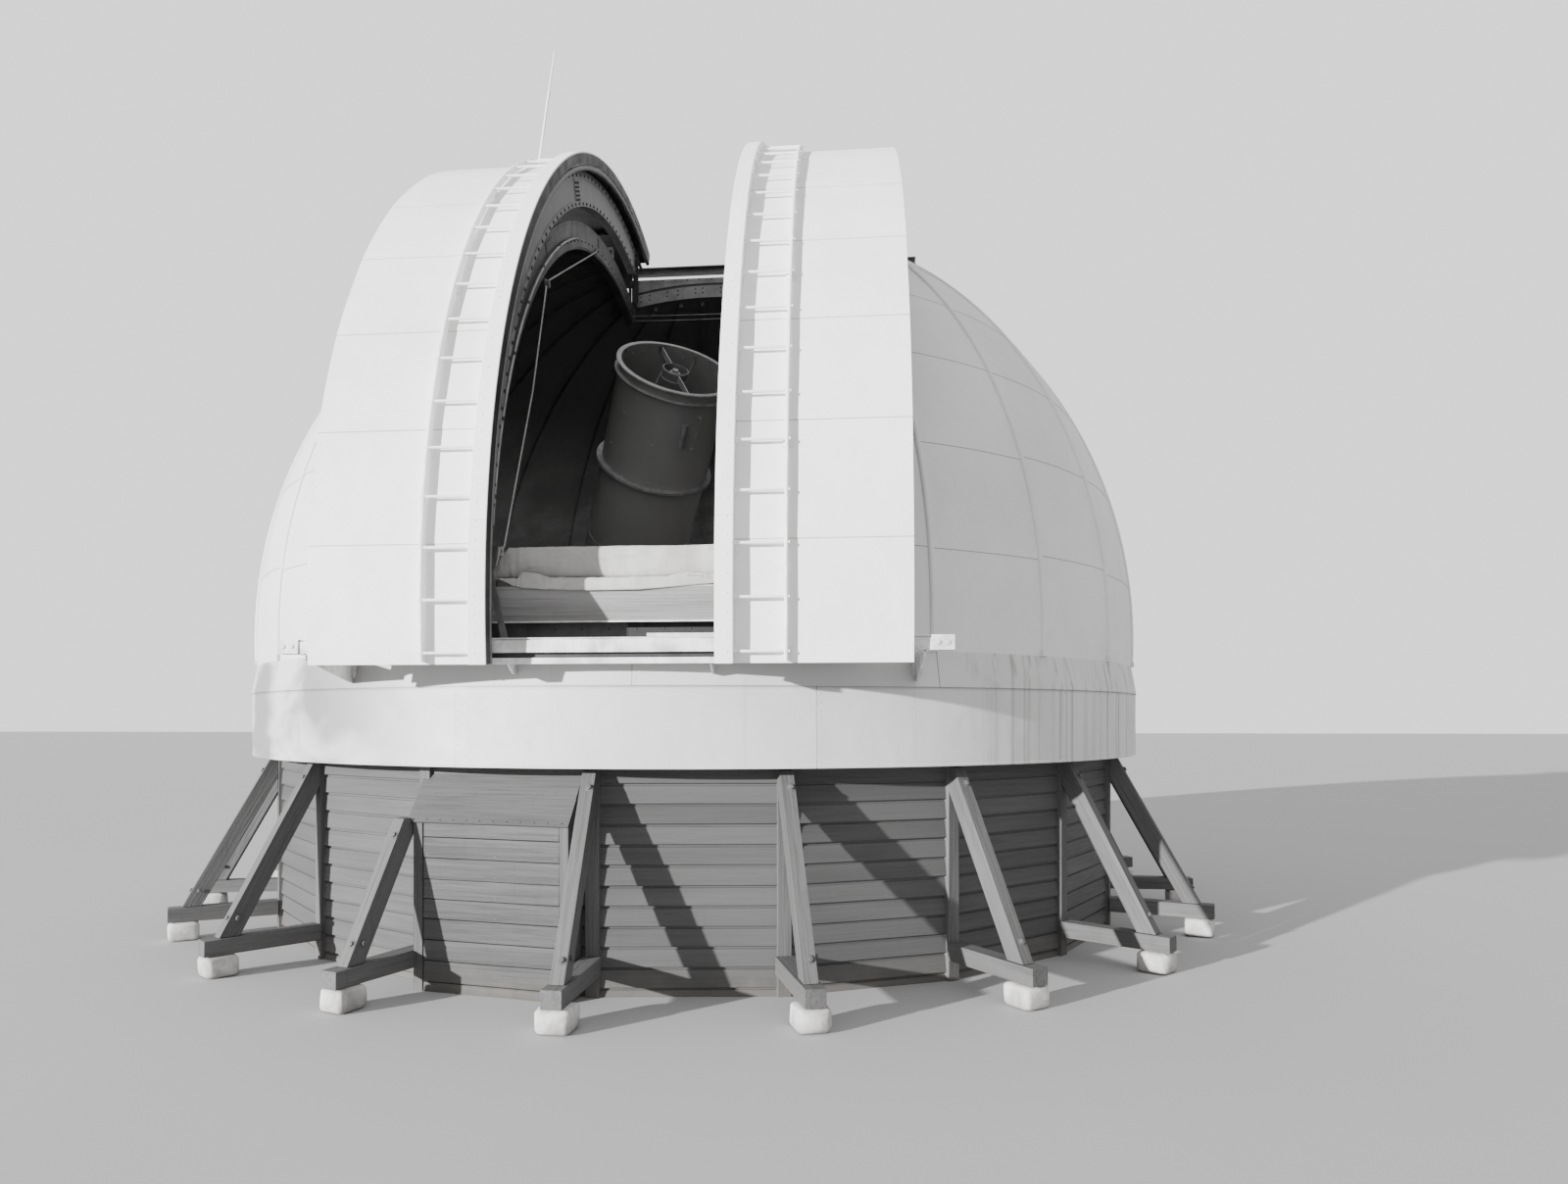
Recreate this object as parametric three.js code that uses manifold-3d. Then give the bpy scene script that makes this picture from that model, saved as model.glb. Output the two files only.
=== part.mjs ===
// Observatory dome with its timber wall, sliding shutters and reflecting telescope.
// Millimetres, +Z up. The origin is on the dome's turning axis at ground level, and the
// observing slit faces -Y. Azimuths run from -Y towards +X, in degrees.
import * as THREE from 'three';
import { mergeVertices } from 'three/addons/utils/BufferGeometryUtils.js';
import Module from 'manifold-3d';

const wasm = await Module();
wasm.setup();

// Driving dimensions
const seat = 0.3; // gap left between pieces that rest on each other
const wallSides = 20;
const wallTurn = -2.5; // azimuth of the first corner post
const postRadius = 4344; // centre line of the corner posts
const postSize = 100;
const wallTop = 1980;
const boardFace = 4300; // from the axis to the outer face of the boards
const wallThickness = 100;
const bracketTop = 1622; // highest point of the raking braces
const soleEnd = 5300;
const soleTop = 295;
const soleDepth = 130;
const drumRadius = 4608;
const drumBottom = 1641;
const drumTop = 2222;
const domeRadius = 4570;
const domeHeight = 2720; // height of the sphere's centre
const footHeight = 2480; // where the sphere meets the ledge
const shellThickness = 40;
const slitHalf = 1000;
const slitBack = 930;
const shutterRadius = 4904;
const shutterHeight = 2768; // height of the shutters' centre of curvature
const shutterInner = 760; // inner edge when open as stored
const shutterOuter = 2043;
const shutterStart = -4.85;
const shutterEnd = 100;
const rungPitch = 4.08; // degrees of arc between ladder rungs
const rungFirst = -3.95; // angle of the lowest rung
const rungCount = 17;
const tubeRadius = 530;
const tubeAzimuth = 27.65;
const tubeElevation = 47.6;
const tubeEnd = new THREE.Vector3(28, -2000, 5293); // centre of the tube's open end
const mountHeight = 3300;
const polarElevation = 33;

const turn = Math.PI / 180;
const bayAngle = 360 / wallSides;
const halfBay = (bayAngle / 2) * turn;

// Geometry helpers
function snapped(geometry) {
  const place = geometry.attributes.position;
  for (let i = 0; i < place.array.length; i += 1) {
    place.array[i] = Math.round(place.array[i] * 100) / 100;
  }
  return geometry;
}

// Returns a closed solid whose faces point outwards, whichever way the mesh was made.
function solid(geometry) {
  let mesh = geometry.clone();
  mesh.deleteAttribute('normal');
  mesh.deleteAttribute('uv');
  mesh = mergeVertices(snapped(mesh), 0.002);
  const corners = mesh.attributes.position;
  const kept = [];
  let volume = 0;
  const a = new THREE.Vector3();
  const b = new THREE.Vector3();
  const c = new THREE.Vector3();
  for (let i = 0; i < mesh.index.count; i += 3) {
    const [p, q, r] = [mesh.index.getX(i), mesh.index.getX(i + 1), mesh.index.getX(i + 2)];
    if (p === q || q === r || r === p) {
      continue;
    }
    kept.push(p, q, r);
    a.fromBufferAttribute(corners, p);
    b.fromBufferAttribute(corners, q);
    c.fromBufferAttribute(corners, r);
    volume += a.dot(b.cross(c));
  }
  if (volume < 0) {
    kept.reverse();
  }
  const raw = new wasm.Mesh({
    numProp: 3,
    vertProperties: Float32Array.from(corners.array),
    triVerts: Uint32Array.from(kept),
  });
  raw.merge();
  return new wasm.Manifold(raw);
}

function geometryOf(body) {
  const mesh = body.getMesh();
  const geometry = new THREE.BufferGeometry();
  const places = new Float32Array(mesh.numVert * 3);
  for (let i = 0; i < mesh.numVert; i += 1) {
    for (let k = 0; k < 3; k += 1) {
      places[3 * i + k] = mesh.vertProperties[mesh.numProp * i + k];
    }
  }
  geometry.setAttribute('position', new THREE.BufferAttribute(places, 3));
  geometry.setIndex(Array.from(mesh.triVerts));
  geometry.computeVertexNormals();
  return geometry;
}

function box(x0, x1, y0, y1, z0, z1) {
  const block = new THREE.BoxGeometry(x1 - x0, y1 - y0, z1 - z0);
  return solid(block.translate((x0 + x1) / 2, (y0 + y1) / 2, (z0 + z1) / 2));
}

function outline(points) {
  return new THREE.Shape(points.map(([x, y]) => new THREE.Vector2(x, y)));
}

// An upright prism over a plan outline
function prism(points, z0, z1) {
  const block = new THREE.ExtrudeGeometry(outline(points), { depth: z1 - z0, bevelEnabled: false });
  return solid(block.translate(0, 0, z0));
}

// An outline in a vertical radial plane (distance out, height), given a width across it
function fin(points, width, azimuth) {
  const plate = new THREE.ExtrudeGeometry(outline(points), { depth: width, bevelEnabled: false });
  plate.translate(0, 0, -width / 2);
  plate.rotateX(Math.PI / 2);
  plate.rotateZ((azimuth - 90) * turn);
  return solid(plate);
}

// Turns a closed outline (distance out, height) about the vertical axis
function revolved(points, sides) {
  const profile = [...points, points[0]].map(([r, z]) => new THREE.Vector2(r, z));
  return solid(new THREE.LatheGeometry(profile, sides).rotateX(Math.PI / 2));
}

// Carries a section (x, radius) round a level axis along X at the given height
function arched(points, centreHeight, from, to, steps) {
  const bar = new THREE.ExtrudeGeometry(outline(points), { depth: 1, steps, bevelEnabled: false });
  const place = bar.attributes.position;
  for (let i = 0; i < place.count; i += 1) {
    const angle = (from + (to - from) * place.getZ(i)) * turn;
    const radius = place.getY(i);
    place.setXYZ(i, place.getX(i), -radius * Math.cos(angle), centreHeight + radius * Math.sin(angle));
  }
  return solid(bar);
}

function cylinder(radius, from, to, sides) {
  const axis = new THREE.Vector3().subVectors(to, from);
  const rod = new THREE.CylinderGeometry(radius, radius, axis.length(), sides);
  const up = new THREE.Vector3(0, 1, 0);
  rod.applyQuaternion(new THREE.Quaternion().setFromUnitVectors(up, axis.clone().normalize()));
  const middle = new THREE.Vector3().addVectors(from, to).multiplyScalar(0.5);
  return solid(rod.translate(middle.x, middle.y, middle.z));
}

function mirrored(body) {
  return solid(geometryOf(body).scale(-1, 1, 1));
}

function joined(bodies) {
  return bodies.reduce((whole, next) => whole.add(next));
}

function outward(azimuth, radius, height) {
  return new THREE.Vector3(radius * Math.sin(azimuth * turn), -radius * Math.cos(azimuth * turn), height);
}

// Materials
function paint(color, roughness, metalness) {
  return new THREE.MeshStandardMaterial({ color, roughness, metalness });
}

const whitePaint = paint(0xe2e2e0, 0.55, 0.1);
const domePaint = paint(0xbdbdbb, 0.6, 0.1);
const drumPaint = paint(0xcfcfcc, 0.6, 0.1);
const timberPaint = paint(0x8a8a87, 0.8, 0);
const braceTimber = paint(0x73726f, 0.85, 0);
const steelPaint = paint(0x55565a, 0.6, 0.4);
const railPaint = paint(0xd8d8d5, 0.5, 0.2);
const tubePaint = paint(0x2f3033, 0.6, 0.3);
const ironPaint = paint(0x3a3b3d, 0.6, 0.5);
const canvasCloth = paint(0xc9c8c2, 0.95, 0);
const masonry = paint(0x9c9a94, 0.9, 0);

const dome = new THREE.Group();
const finest = 0.02; // edges shorter than this are merged away

function add(name, body, material, parent = dome) {
  const mesh = new THREE.Mesh(geometryOf(body.simplify(finest)), material);
  mesh.name = name;
  parent.add(mesh);
}

// Timber wall: corner posts with boards between them, in sections of five bays
const sectionBays = 5;
const postInner = boardFace - wallThickness;
const postOuter = postRadius + postSize / 2;

function cornerPost(corner) {
  const azimuth = wallTurn + corner * bayAngle;
  return fin([[postInner, 0], [postOuter, 0], [postOuter, wallTop], [postInner, wallTop]], postSize, azimuth);
}

// The boards of one bay end square against the posts, a given distance from each corner line
function bayBoards(bay, endInset) {
  const startInset = postSize / 2 - 5;
  const middle = wallTurn + (bay + 0.5) * bayAngle;
  const along = new THREE.Vector3(Math.cos(middle * turn), Math.sin(middle * turn), 0);
  const place = (apothem, inset, side) => {
    const shift = apothem * Math.tan(halfBay) - inset / Math.cos(halfBay);
    const point = outward(middle, apothem, 0).addScaledVector(along, side * shift);
    return [point.x, point.y];
  };
  const corners = [
    place(postInner, startInset, -1),
    place(postInner, endInset, 1),
    place(boardFace, endInset, 1),
    place(boardFace, startInset, -1),
  ];
  return prism(corners, 0, wallTop);
}

function wallSection(first) {
  const bodies = [];
  for (let i = 0; i < sectionBays; i += 1) {
    const last = i === sectionBays - 1;
    bodies.push(cornerPost(first + i));
    bodies.push(bayBoards(first + i, postSize / 2 + (last ? seat : -5)));
  }
  return joined(bodies);
}

for (let first = 0; first < wallSides; first += sectionBays) {
  add(`wall_section_${first / sectionBays + 1}`, wallSection(first), timberPaint);
}

// Buttresses: a raking brace on a level sole beam whose outer end lies on a stone
const braceWidth = 100;
const braceDepth = 135;
const braceFoot = 5185;
const soleWidth = 140;
const stoneWidth = 235;
const stoneLength = 260;

function buttress(azimuth) {
  const inner = postOuter + seat;
  const brace = fin([
    [inner, bracketTop],
    [inner, bracketTop - braceDepth * 1.35],
    [braceFoot - braceDepth * 1.15, soleTop - 5],
    [braceFoot, soleTop - 5],
    [inner + braceDepth * 0.45, bracketTop],
  ], braceWidth, azimuth);
  const sole = fin([
    [inner, soleTop - soleDepth],
    [soleEnd, soleTop - soleDepth],
    [soleEnd, soleTop],
    [inner, soleTop],
  ], soleWidth, azimuth);
  const stone = fin([
    [soleEnd - stoneLength, 0],
    [soleEnd, 0],
    [soleEnd - 12, soleTop - soleDepth + 5],
    [soleEnd - stoneLength + 15, soleTop - soleDepth + 5],
  ], stoneWidth, azimuth);
  return joined([brace, sole, stone]);
}

for (let corner = 0; corner < wallSides; corner += 1) {
  const name = `buttress_${String(corner + 1).padStart(2, '0')}`;
  add(name, buttress(wallTurn + corner * bayAngle), braceTimber);
}

// Lean-to box against the bay left of the slit's axis
const leanBay = wallTurn - bayAngle / 2;
const leanHalf = 600;
const leanDepth = 235;
const leanEave = 1280;
const leanRidge = 1612;
const leanBoard = 30;
const leanGroup = new THREE.Group();
leanGroup.rotation.z = leanBay * turn;
dome.add(leanGroup);

// In the lean-to's own frame the wall lies along X and its boards face -Y
function leanBox() {
  const back = -boardFace - 2 * seat;
  const front = -boardFace - leanDepth;
  const rise = (leanRidge - leanEave) / leanDepth;
  const sideAt = (x) => {
    const side = outline([
      [-front, 0],
      [-back, 0],
      [-back, leanRidge - leanBoard - 12],
      [-front, leanRidge - leanBoard - 12 - rise * (leanDepth - 2 * seat)],
    ]);
    const plate = new THREE.ExtrudeGeometry(side, { depth: leanBoard, bevelEnabled: false });
    plate.rotateX(Math.PI / 2);
    plate.rotateZ(-Math.PI / 2);
    return solid(plate.translate(x + leanBoard, 0, 0));
  };
  const faceTop = leanRidge - leanBoard - 12 - rise * (leanDepth - 2 * seat);
  const face = box(-leanHalf, leanHalf, front, front + leanBoard, 0, faceTop);
  return joined([sideAt(-leanHalf), sideAt(leanHalf - leanBoard), face]);
}

function leanRoof() {
  const back = boardFace + 2 * seat;
  const overhang = 22;
  const front = boardFace + leanDepth + overhang;
  const rise = (leanRidge - leanEave) / leanDepth;
  const lift = 12 - leanBoard;
  const section = outline([
    [back, leanRidge - leanBoard - 12 + seat * 2],
    [back, leanRidge + lift + 6],
    [front, leanRidge + lift + 6 - rise * (front - back)],
    [front, leanRidge - leanBoard - 12 + seat * 2 - rise * (front - back)],
  ]);
  const half = leanHalf + 6;
  const slab = new THREE.ExtrudeGeometry(section, { depth: 2 * half, bevelEnabled: false });
  slab.rotateX(Math.PI / 2);
  slab.rotateZ(-Math.PI / 2);
  return solid(slab.translate(half, 0, 0));
}

add('leanto_box', leanBox(), timberPaint, leanGroup);
add('leanto_roof', leanRoof(), timberPaint, leanGroup);

// Wall plate with the circular rail that the dome turns on
const ringSides = 72;
const railTop = 2070;
const railRadius = 4350;
const plateTop = 2040;

add('track_ring', revolved([
  [postInner + 10, wallTop + seat],
  [postOuter, wallTop + seat],
  [postOuter, plateTop],
  [railRadius, railTop],
  [postInner + 10, railTop],
], ringSides), timberPaint);

// Turning part: base ring on wheels, sheet drum with a steep ledge, and the shell
const drumSheet = 20;
const ringBottom = 2200;
const ringTop = 2290;
const ringInner = 4230;
const wheelRadius = 62;
const wheelHalf = 26;
const wheelCount = 12;

function baseRing() {
  const bodies = [revolved([
    [ringInner, ringBottom],
    [drumRadius - drumSheet - seat, ringBottom],
    [drumRadius - drumSheet - seat, drumTop - 20],
    [drumRadius - drumSheet - 60, ringTop],
    [ringInner, ringTop],
  ], ringSides)];
  const wheelSides = 12;
  const axleHeight = railTop + seat + wheelRadius;
  for (let i = 0; i < wheelCount; i += 1) {
    const azimuth = (i + 0.5) * (360 / wheelCount);
    const inner = outward(azimuth, railRadius - 2 * wheelHalf - 20, axleHeight);
    const outer = outward(azimuth, railRadius - 20, axleHeight);
    bodies.push(cylinder(wheelRadius, inner, outer, wheelSides));
    const cheekIn = railRadius - 2 * wheelHalf - 36;
    const cheekOut = railRadius - 4;
    bodies.push(fin([
      [cheekIn, axleHeight - 24],
      [cheekOut, axleHeight - 24],
      [cheekOut, ringBottom + 5],
      [cheekIn, ringBottom + 5],
    ], wheelRadius, azimuth));
  }
  return joined(bodies);
}

function drumOutline(gap) {
  const ledgeIn = Math.sqrt(domeRadius ** 2 - (footHeight - domeHeight) ** 2) + 2;
  return [
    [drumRadius - drumSheet - gap, drumBottom],
    [drumRadius + gap, drumBottom],
    [drumRadius + gap, drumTop],
    [ledgeIn + gap, footHeight],
    [ledgeIn - drumSheet - gap, footHeight],
    [drumRadius - drumSheet - gap, drumTop],
  ];
}

add('base_ring', baseRing(), steelPaint);
add('drum_skirt', revolved(drumOutline(0), ringSides), drumPaint);

const shellSides = 48;
const ringStep = 7.5;

// The shell's profile from the foot to the crown, or the full round that its surface fills
function shellProfile(outer, inner) {
  const arc = (radius, up) => {
    const foot = Math.asin((footHeight + seat - domeHeight) / radius) / turn;
    const points = [];
    for (let angle = foot; angle < 90 - ringStep / 2; angle += (90 - foot) / 12) {
      points.push([radius * Math.cos(angle * turn), domeHeight + radius * Math.sin(angle * turn)]);
    }
    points.push([0, domeHeight + radius]);
    return up ? points : points.reverse();
  };
  const base = inner > 0 ? arc(inner, false) : [[0, footHeight + seat]];
  return [...arc(outer, true), ...base];
}

function domeShell() {
  const profile = shellProfile(domeRadius, domeRadius - shellThickness);
  const points = profile.map(([r, z]) => new THREE.Vector2(r, z));
  points.push(points[0].clone());
  const whole = solid(new THREE.LatheGeometry(points, shellSides).rotateX(Math.PI / 2));
  const slit = box(-slitHalf, slitHalf, -domeRadius - 10, slitBack, footHeight - 10, 9000);
  return whole.subtract(slit);
}

// A quarter of the plan, moved out by half the gap between neighbouring quarters
function quarter(from) {
  const reach = 8000;
  const shift = outward(from + 45, seat, 0);
  const corners = [[0, 0], ...[from, from + 45, from + 90].map((azimuth) => {
    const point = outward(azimuth, reach, 0);
    return [point.x, point.y];
  })];
  return prism(corners.map(([x, y]) => [x + shift.x, y + shift.y]), 0, 9000);
}

const shell = domeShell();
add('shell_front_right', shell.intersect(quarter(0)), domePaint);
add('shell_back_right', shell.intersect(quarter(90)), domePaint);
add('shell_back_left', shell.intersect(quarter(180)), domePaint);
add('shell_front_left', shell.intersect(quarter(270)), domePaint);

// Arch girders along both sides of the slit: a curb that rises past the shell, and a flange
const archInner = 4230;
const archOuter = 4478;
const archWeb = 15;
const archFlange = 80;
const archSteps = 30;

function slitArch() {
  const web = slitHalf - seat;
  const arch = arched([
    [web - archWeb, archInner],
    [web - archWeb + archFlange, archInner],
    [web - archWeb + archFlange, archInner + 20],
    [web, archInner + 20],
    [web, archOuter],
    [web - archWeb, archOuter],
  ], domeHeight, -6.5, 110, archSteps);
  const room = box(0, 2000, -5000, slitBack - seat, ringTop + seat, 9000);
  const ledge = revolved([
    [drumRadius - 66, ringTop - 50],
    [drumRadius + 200, ringTop - 50],
    [drumRadius + 200, footHeight + 1],
    [archOuter - 30, footHeight + 1],
    [archOuter - 30, ringTop - 50],
  ], ringSides);
  return arch.intersect(room).subtract(ledge);
}

const archRight = slitArch();
add('slit_arch_right', archRight, steelPaint);
add('slit_arch_left', mirrored(archRight), steelPaint);

// Header plate that closes the back of the slit, straight above and curved below
const headerTop = 7390;
const headerPlate = 22;

function slitHeader() {
  const half = slitHalf - archWeb - 2 * seat;
  const radius = Math.sqrt(domeRadius ** 2 - slitBack ** 2) - 45;
  const points = [[half, headerTop], [-half, headerTop]];
  const steps = 14;
  for (let i = 0; i <= steps; i += 1) {
    const x = -half + (2 * half * i) / steps;
    points.push([x, domeHeight + Math.sqrt(radius ** 2 - x ** 2)]);
  }
  const plate = new THREE.ExtrudeGeometry(outline(points), { depth: headerPlate, bevelEnabled: false });
  plate.rotateX(Math.PI / 2);
  return solid(plate.translate(0, slitBack - seat, 0));
}

add('slit_header', slitHeader(), steelPaint);

// Rails that the shutters roll along, at the foot of the slit and behind the crown
const railHeight = 100;
const frontRailTop = 2538;
const frontRailFace = -4790;
const frontRailDepth = 100;
const frontRailHalf = 2310;
const backRailTop = 7530;
const backRailDepth = 90;
const backRailFace = 880;
const backRailWidth = 80;
const backRailHalf = 2470;
const roundGap = 0.5; // radial gap between a foot and the faceted face that it stands on

function frontRail() {
  const back = frontRailFace + frontRailDepth;
  const bottom = frontRailTop - railHeight;
  const bodies = [box(-frontRailHalf, frontRailHalf, frontRailFace, back, bottom, frontRailTop)];
  [-2120, -700, 700, 2120].forEach((x) => {
    bodies.push(box(x - 30, x + 30, frontRailFace + 20, -3800, bottom - 60, bottom + 5));
    bodies.push(box(x - 30, x + 30, frontRailFace + 20, -3800, bottom - 130, bottom - 55));
  });
  [-1, 1].forEach((side) => {
    const plate = side * (frontRailHalf - 75);
    bodies.push(box(plate - 75, plate + 75, frontRailFace - 12, frontRailFace + 5, bottom, frontRailTop));
  });
  const drum = drumOutline(roundGap);
  const core = revolved([[0, drumBottom], drum[1], drum[2], drum[3], [0, footHeight]], ringSides);
  return joined(bodies).subtract(core);
}

function backRail() {
  const back = backRailFace + backRailWidth;
  const bottom = backRailTop - backRailDepth;
  const bodies = [box(-backRailHalf, backRailHalf, backRailFace, back, bottom, backRailTop)];
  const footDrop = 1200;
  [-2050, -1025, 1025, 2050].forEach((x) => {
    bodies.push(box(x - 22, x + 22, backRailFace + 8, back - 8, bottom - footDrop, bottom + 5));
  });
  const profile = shellProfile(domeRadius + roundGap, 0).map(([r, z]) => new THREE.Vector2(r, z));
  profile.push(profile[0].clone());
  const core = solid(new THREE.LatheGeometry(profile, shellSides).rotateX(Math.PI / 2));
  return joined(bodies).subtract(core);
}

add('front_rail', frontRail(), railPaint);
add('back_rail', backRail(), steelPaint);

// Wind screen across the foot of the slit: a fixed board and a canvas blind above it
const screenFace = -4330;
const screenBoardHalf = slitHalf - seat - archWeb - seat;
const screenTop = 3240;
const screenShelf = 2925; // top of the board's shelf, where the canvas lies
const shelfDepth = 18;
const boardThickness = 31;
const boardTopFace = -4470;
const boardLowFace = -4350;
const boardLow = 2681;
const boardLean = 17; // how much higher the board's back edge lies at its foot

// A prism that runs across the slit over an outline of (y, z)
function acrossSlit(points) {
  const plate = new THREE.ExtrudeGeometry(outline(points), { depth: 2 * screenBoardHalf, bevelEnabled: false });
  plate.rotateX(Math.PI / 2);
  plate.rotateZ(Math.PI / 2);
  return solid(plate.translate(-screenBoardHalf, 0, 0));
}

// A board that leans outwards at the top, under a level shelf
function screenBoard() {
  const leaning = acrossSlit([
    [boardLowFace, boardLow],
    [boardTopFace, screenShelf - shelfDepth],
    [boardTopFace + boardThickness, screenShelf - 1],
    [boardLowFace + boardThickness, boardLow + boardLean],
  ]);
  const shelf = acrossSlit([
    [boardTopFace + boardThickness - 6, screenShelf - shelfDepth],
    [boardTopFace + boardThickness - 6, screenShelf],
    [screenFace + 5, screenShelf],
    [screenFace + 5, screenShelf - shelfDepth],
  ]);
  return leaning.add(shelf);
}

add('screen_board', screenBoard(), timberPaint);

// The gathered canvas: a roll on the shelf, and a fold that drops over the board's top edge
const canvasBack = screenFace - 10;
const canvasFront = canvasBack - 55;
const flapFront = -4485.5;
const foldTop = 2998;
const flapLow = 2885;

function windScreen() {
  const roll = box(-955, 955, canvasFront, canvasBack, screenShelf + seat, screenTop);
  const fold = box(-925, 925, flapFront, canvasFront + 5, screenShelf + seat, foldTop);
  const flap = box(-900, 250, flapFront, flapFront + 10, flapLow, screenShelf + 5);
  return joined([roll, fold, flap]);
}

add('wind_screen', windScreen(), canvasCloth);

// A sheet that stands on the base ring below the board, its upper edge turned under the board
const sillFace = -4250;
const sillThickness = 8;
const sillTop = boardLow + 50;

function sillPlate() {
  const upright = box(-screenBoardHalf, screenBoardHalf, sillFace, sillFace + sillThickness, ringTop + seat, sillTop);
  const turned = box(-screenBoardHalf, screenBoardHalf, boardTopFace, sillFace + 2, sillTop - sillThickness, sillTop);
  const inFront = acrossSlit([
    [-4700, boardLow],
    [boardLowFace + boardThickness + seat, boardLow],
    [boardLowFace + boardThickness + seat, boardLow + boardLean],
    [boardTopFace + boardThickness + seat, screenShelf - 1],
    [-4700, screenShelf - 1],
  ]);
  return upright.add(turned.subtract(inFront));
}

add('sill_plate', sillPlate(), steelPaint);

// A flat stay at the canvas's left end, from the arch down to the drum's top edge
const stayFace = -4500;
const stayThickness = 8;
const stayHalf = 25;
const stayTop = 3160;
const stayTopX = -936.5;
const stayFootX = -776.7;

function screenStay() {
  const bar = new THREE.ExtrudeGeometry(outline([
    [stayFootX - stayHalf, footHeight + seat],
    [stayFootX + stayHalf, footHeight + seat],
    [stayTopX + stayHalf, stayTop],
    [stayTopX - stayHalf, stayTop],
  ]), { depth: stayThickness, bevelEnabled: false });
  const lug = box(-slitHalf + archWeb + 2 * seat, stayTopX + 20, stayFace + 2, stayFace + 80, stayTop - 35, stayTop - 5);
  return solid(bar.rotateX(Math.PI / 2).translate(0, stayFace + stayThickness, 0)).add(lug);
}

add('screen_stay', screenStay(), steelPaint);

// Halyard: a taut rope from the blind's corner over a pulley block on the left arch
const ropeRadius = 7;
const ropeFoot = new THREE.Vector3(-930, screenFace - 25, screenTop - 10);
const blockPlace = new THREE.Vector3(-950, -2890, 5750);
const blockHanger = new THREE.Vector3(-950, -2961, 5824); // where the pulley's arm meets the arch's web

function halyard() {
  const webFace = -(slitHalf - archWeb - 2 * seat);
  const hook = new THREE.Vector3(webFace + 16, -1070, 6850);
  const rope = cylinder(ropeRadius, ropeFoot, blockPlace, 8);
  const tail = cylinder(ropeRadius, blockPlace, hook, 8);
  const reel = cylinder(45, blockPlace.clone().setX(-974), blockPlace.clone().setX(-926), 16);
  const end = cylinder(24, hook.clone().setX(webFace), hook.clone().setX(-930), 12);
  const arm = cylinder(12, blockPlace, blockHanger, 8);
  const pin = cylinder(16, blockHanger.clone().setX(webFace), blockHanger.clone().setX(-935), 12);
  const below = box(-1100, -800, screenFace - 150, screenFace + 200, screenTop - 200, screenTop + seat);
  return joined([rope, tail, reel, end, arm, pin]).subtract(below);
}

add('halyard', halyard(), ironPaint);

// Shutters: a curved skin with an outer cheek, a curb, a girder inside and a ladder outside.
// Each is made for the +X side and mirrored for the other.
const shutterSteps = 28;
const skinThickness = 30;
const cheekInner = 4500;
const curbWidth = 120;
const curbTop = 5000;
const girderOffset = 110;
const girderInner = 4555;
const girderWeb = 20;
const girderFlange = 90;
const girderSteps = shutterSteps - 1; // the girder stops one facet short of the skin, at an upright
const girderEnd = shutterStart + (shutterEnd - shutterStart) * girderSteps / shutterSteps;
const uprightLow = 6945;
const uprightHigh = 7588;
const skinInner = shutterRadius - skinThickness;

// Everything behind the skin stops above the front rail's top
function aboveFrontRail(body) {
  return body.subtract(box(0, 3000, -skinInner + 3, -3000, 1500, frontRailTop + seat));
}

function hangerOver(x0, x1) {
  return box(x0, x1, backRailFace - 110, backRailFace + backRailWidth, backRailTop + seat, backRailTop + 30);
}

function shutterSkin() {
  const section = [
    [shutterInner, skinInner],
    [shutterOuter - skinThickness, skinInner],
    [shutterOuter - skinThickness, cheekInner],
    [shutterOuter, cheekInner],
    [shutterOuter, shutterRadius],
    [shutterInner, shutterRadius],
  ];
  const skin = arched(section, shutterHeight, shutterStart, shutterEnd, shutterSteps);
  const endPlate = arched([
    [shutterInner + girderOffset + girderFlange + 5, girderInner],
    [shutterOuter - 5, girderInner],
    [shutterOuter - 5, skinInner + 5],
    [shutterInner + girderOffset + girderFlange + 5, skinInner + 5],
  ], shutterHeight, shutterEnd - 0.3, shutterEnd, 1);
  const hanger = hangerOver(shutterOuter - skinThickness, shutterOuter);
  return aboveFrontRail(joined([skin, endPlate])).add(hanger);
}

function shutterCurb() {
  const bottom = shutterRadius + seat;
  return arched([
    [shutterInner, bottom],
    [shutterInner + curbWidth, bottom],
    [shutterInner + curbWidth, curbTop],
    [shutterInner, curbTop],
  ], shutterHeight, shutterStart, shutterEnd, shutterSteps);
}

function shutterGirder() {
  const web = shutterInner + girderOffset;
  const top = skinInner - 1.5;
  const girder = arched([
    [web, girderInner],
    [web + girderFlange, girderInner],
    [web + girderFlange, girderInner + girderWeb],
    [web + girderWeb, girderInner + girderWeb],
    [web + girderWeb, top - girderWeb],
    [web + girderFlange, top - girderWeb],
    [web + girderFlange, top],
    [web, top],
  ], shutterHeight, shutterStart, girderEnd, girderSteps);
  const endFace = -girderInner * Math.cos(girderEnd * turn);
  const railBack = backRailFace + backRailWidth;
  const hanger = box(web, web + girderWeb, endFace - 20, railBack, backRailTop + seat, backRailTop + 30);
  const upright = box(web - 39, web + 27, endFace - 5, endFace + 32, uprightLow, uprightHigh);
  return joined([aboveFrontRail(girder), hanger, upright]);
}

const ladderRail = 1220;
const ladderHalf = 11; // half the width of the flat bar, which stands on edge
const ladderLow = 4912;
const ladderHigh = 4970;
const rungRadius = 4955;
const rungBar = 10;
const rungStub = 24; // how far a rung stands out past the bar
const standPitch = 4; // every fourth rung has a foot down to the skin
const standFoot = shutterRadius + 2 * seat;
const standHalf = 30;
const standAngle = 0.45;

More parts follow.
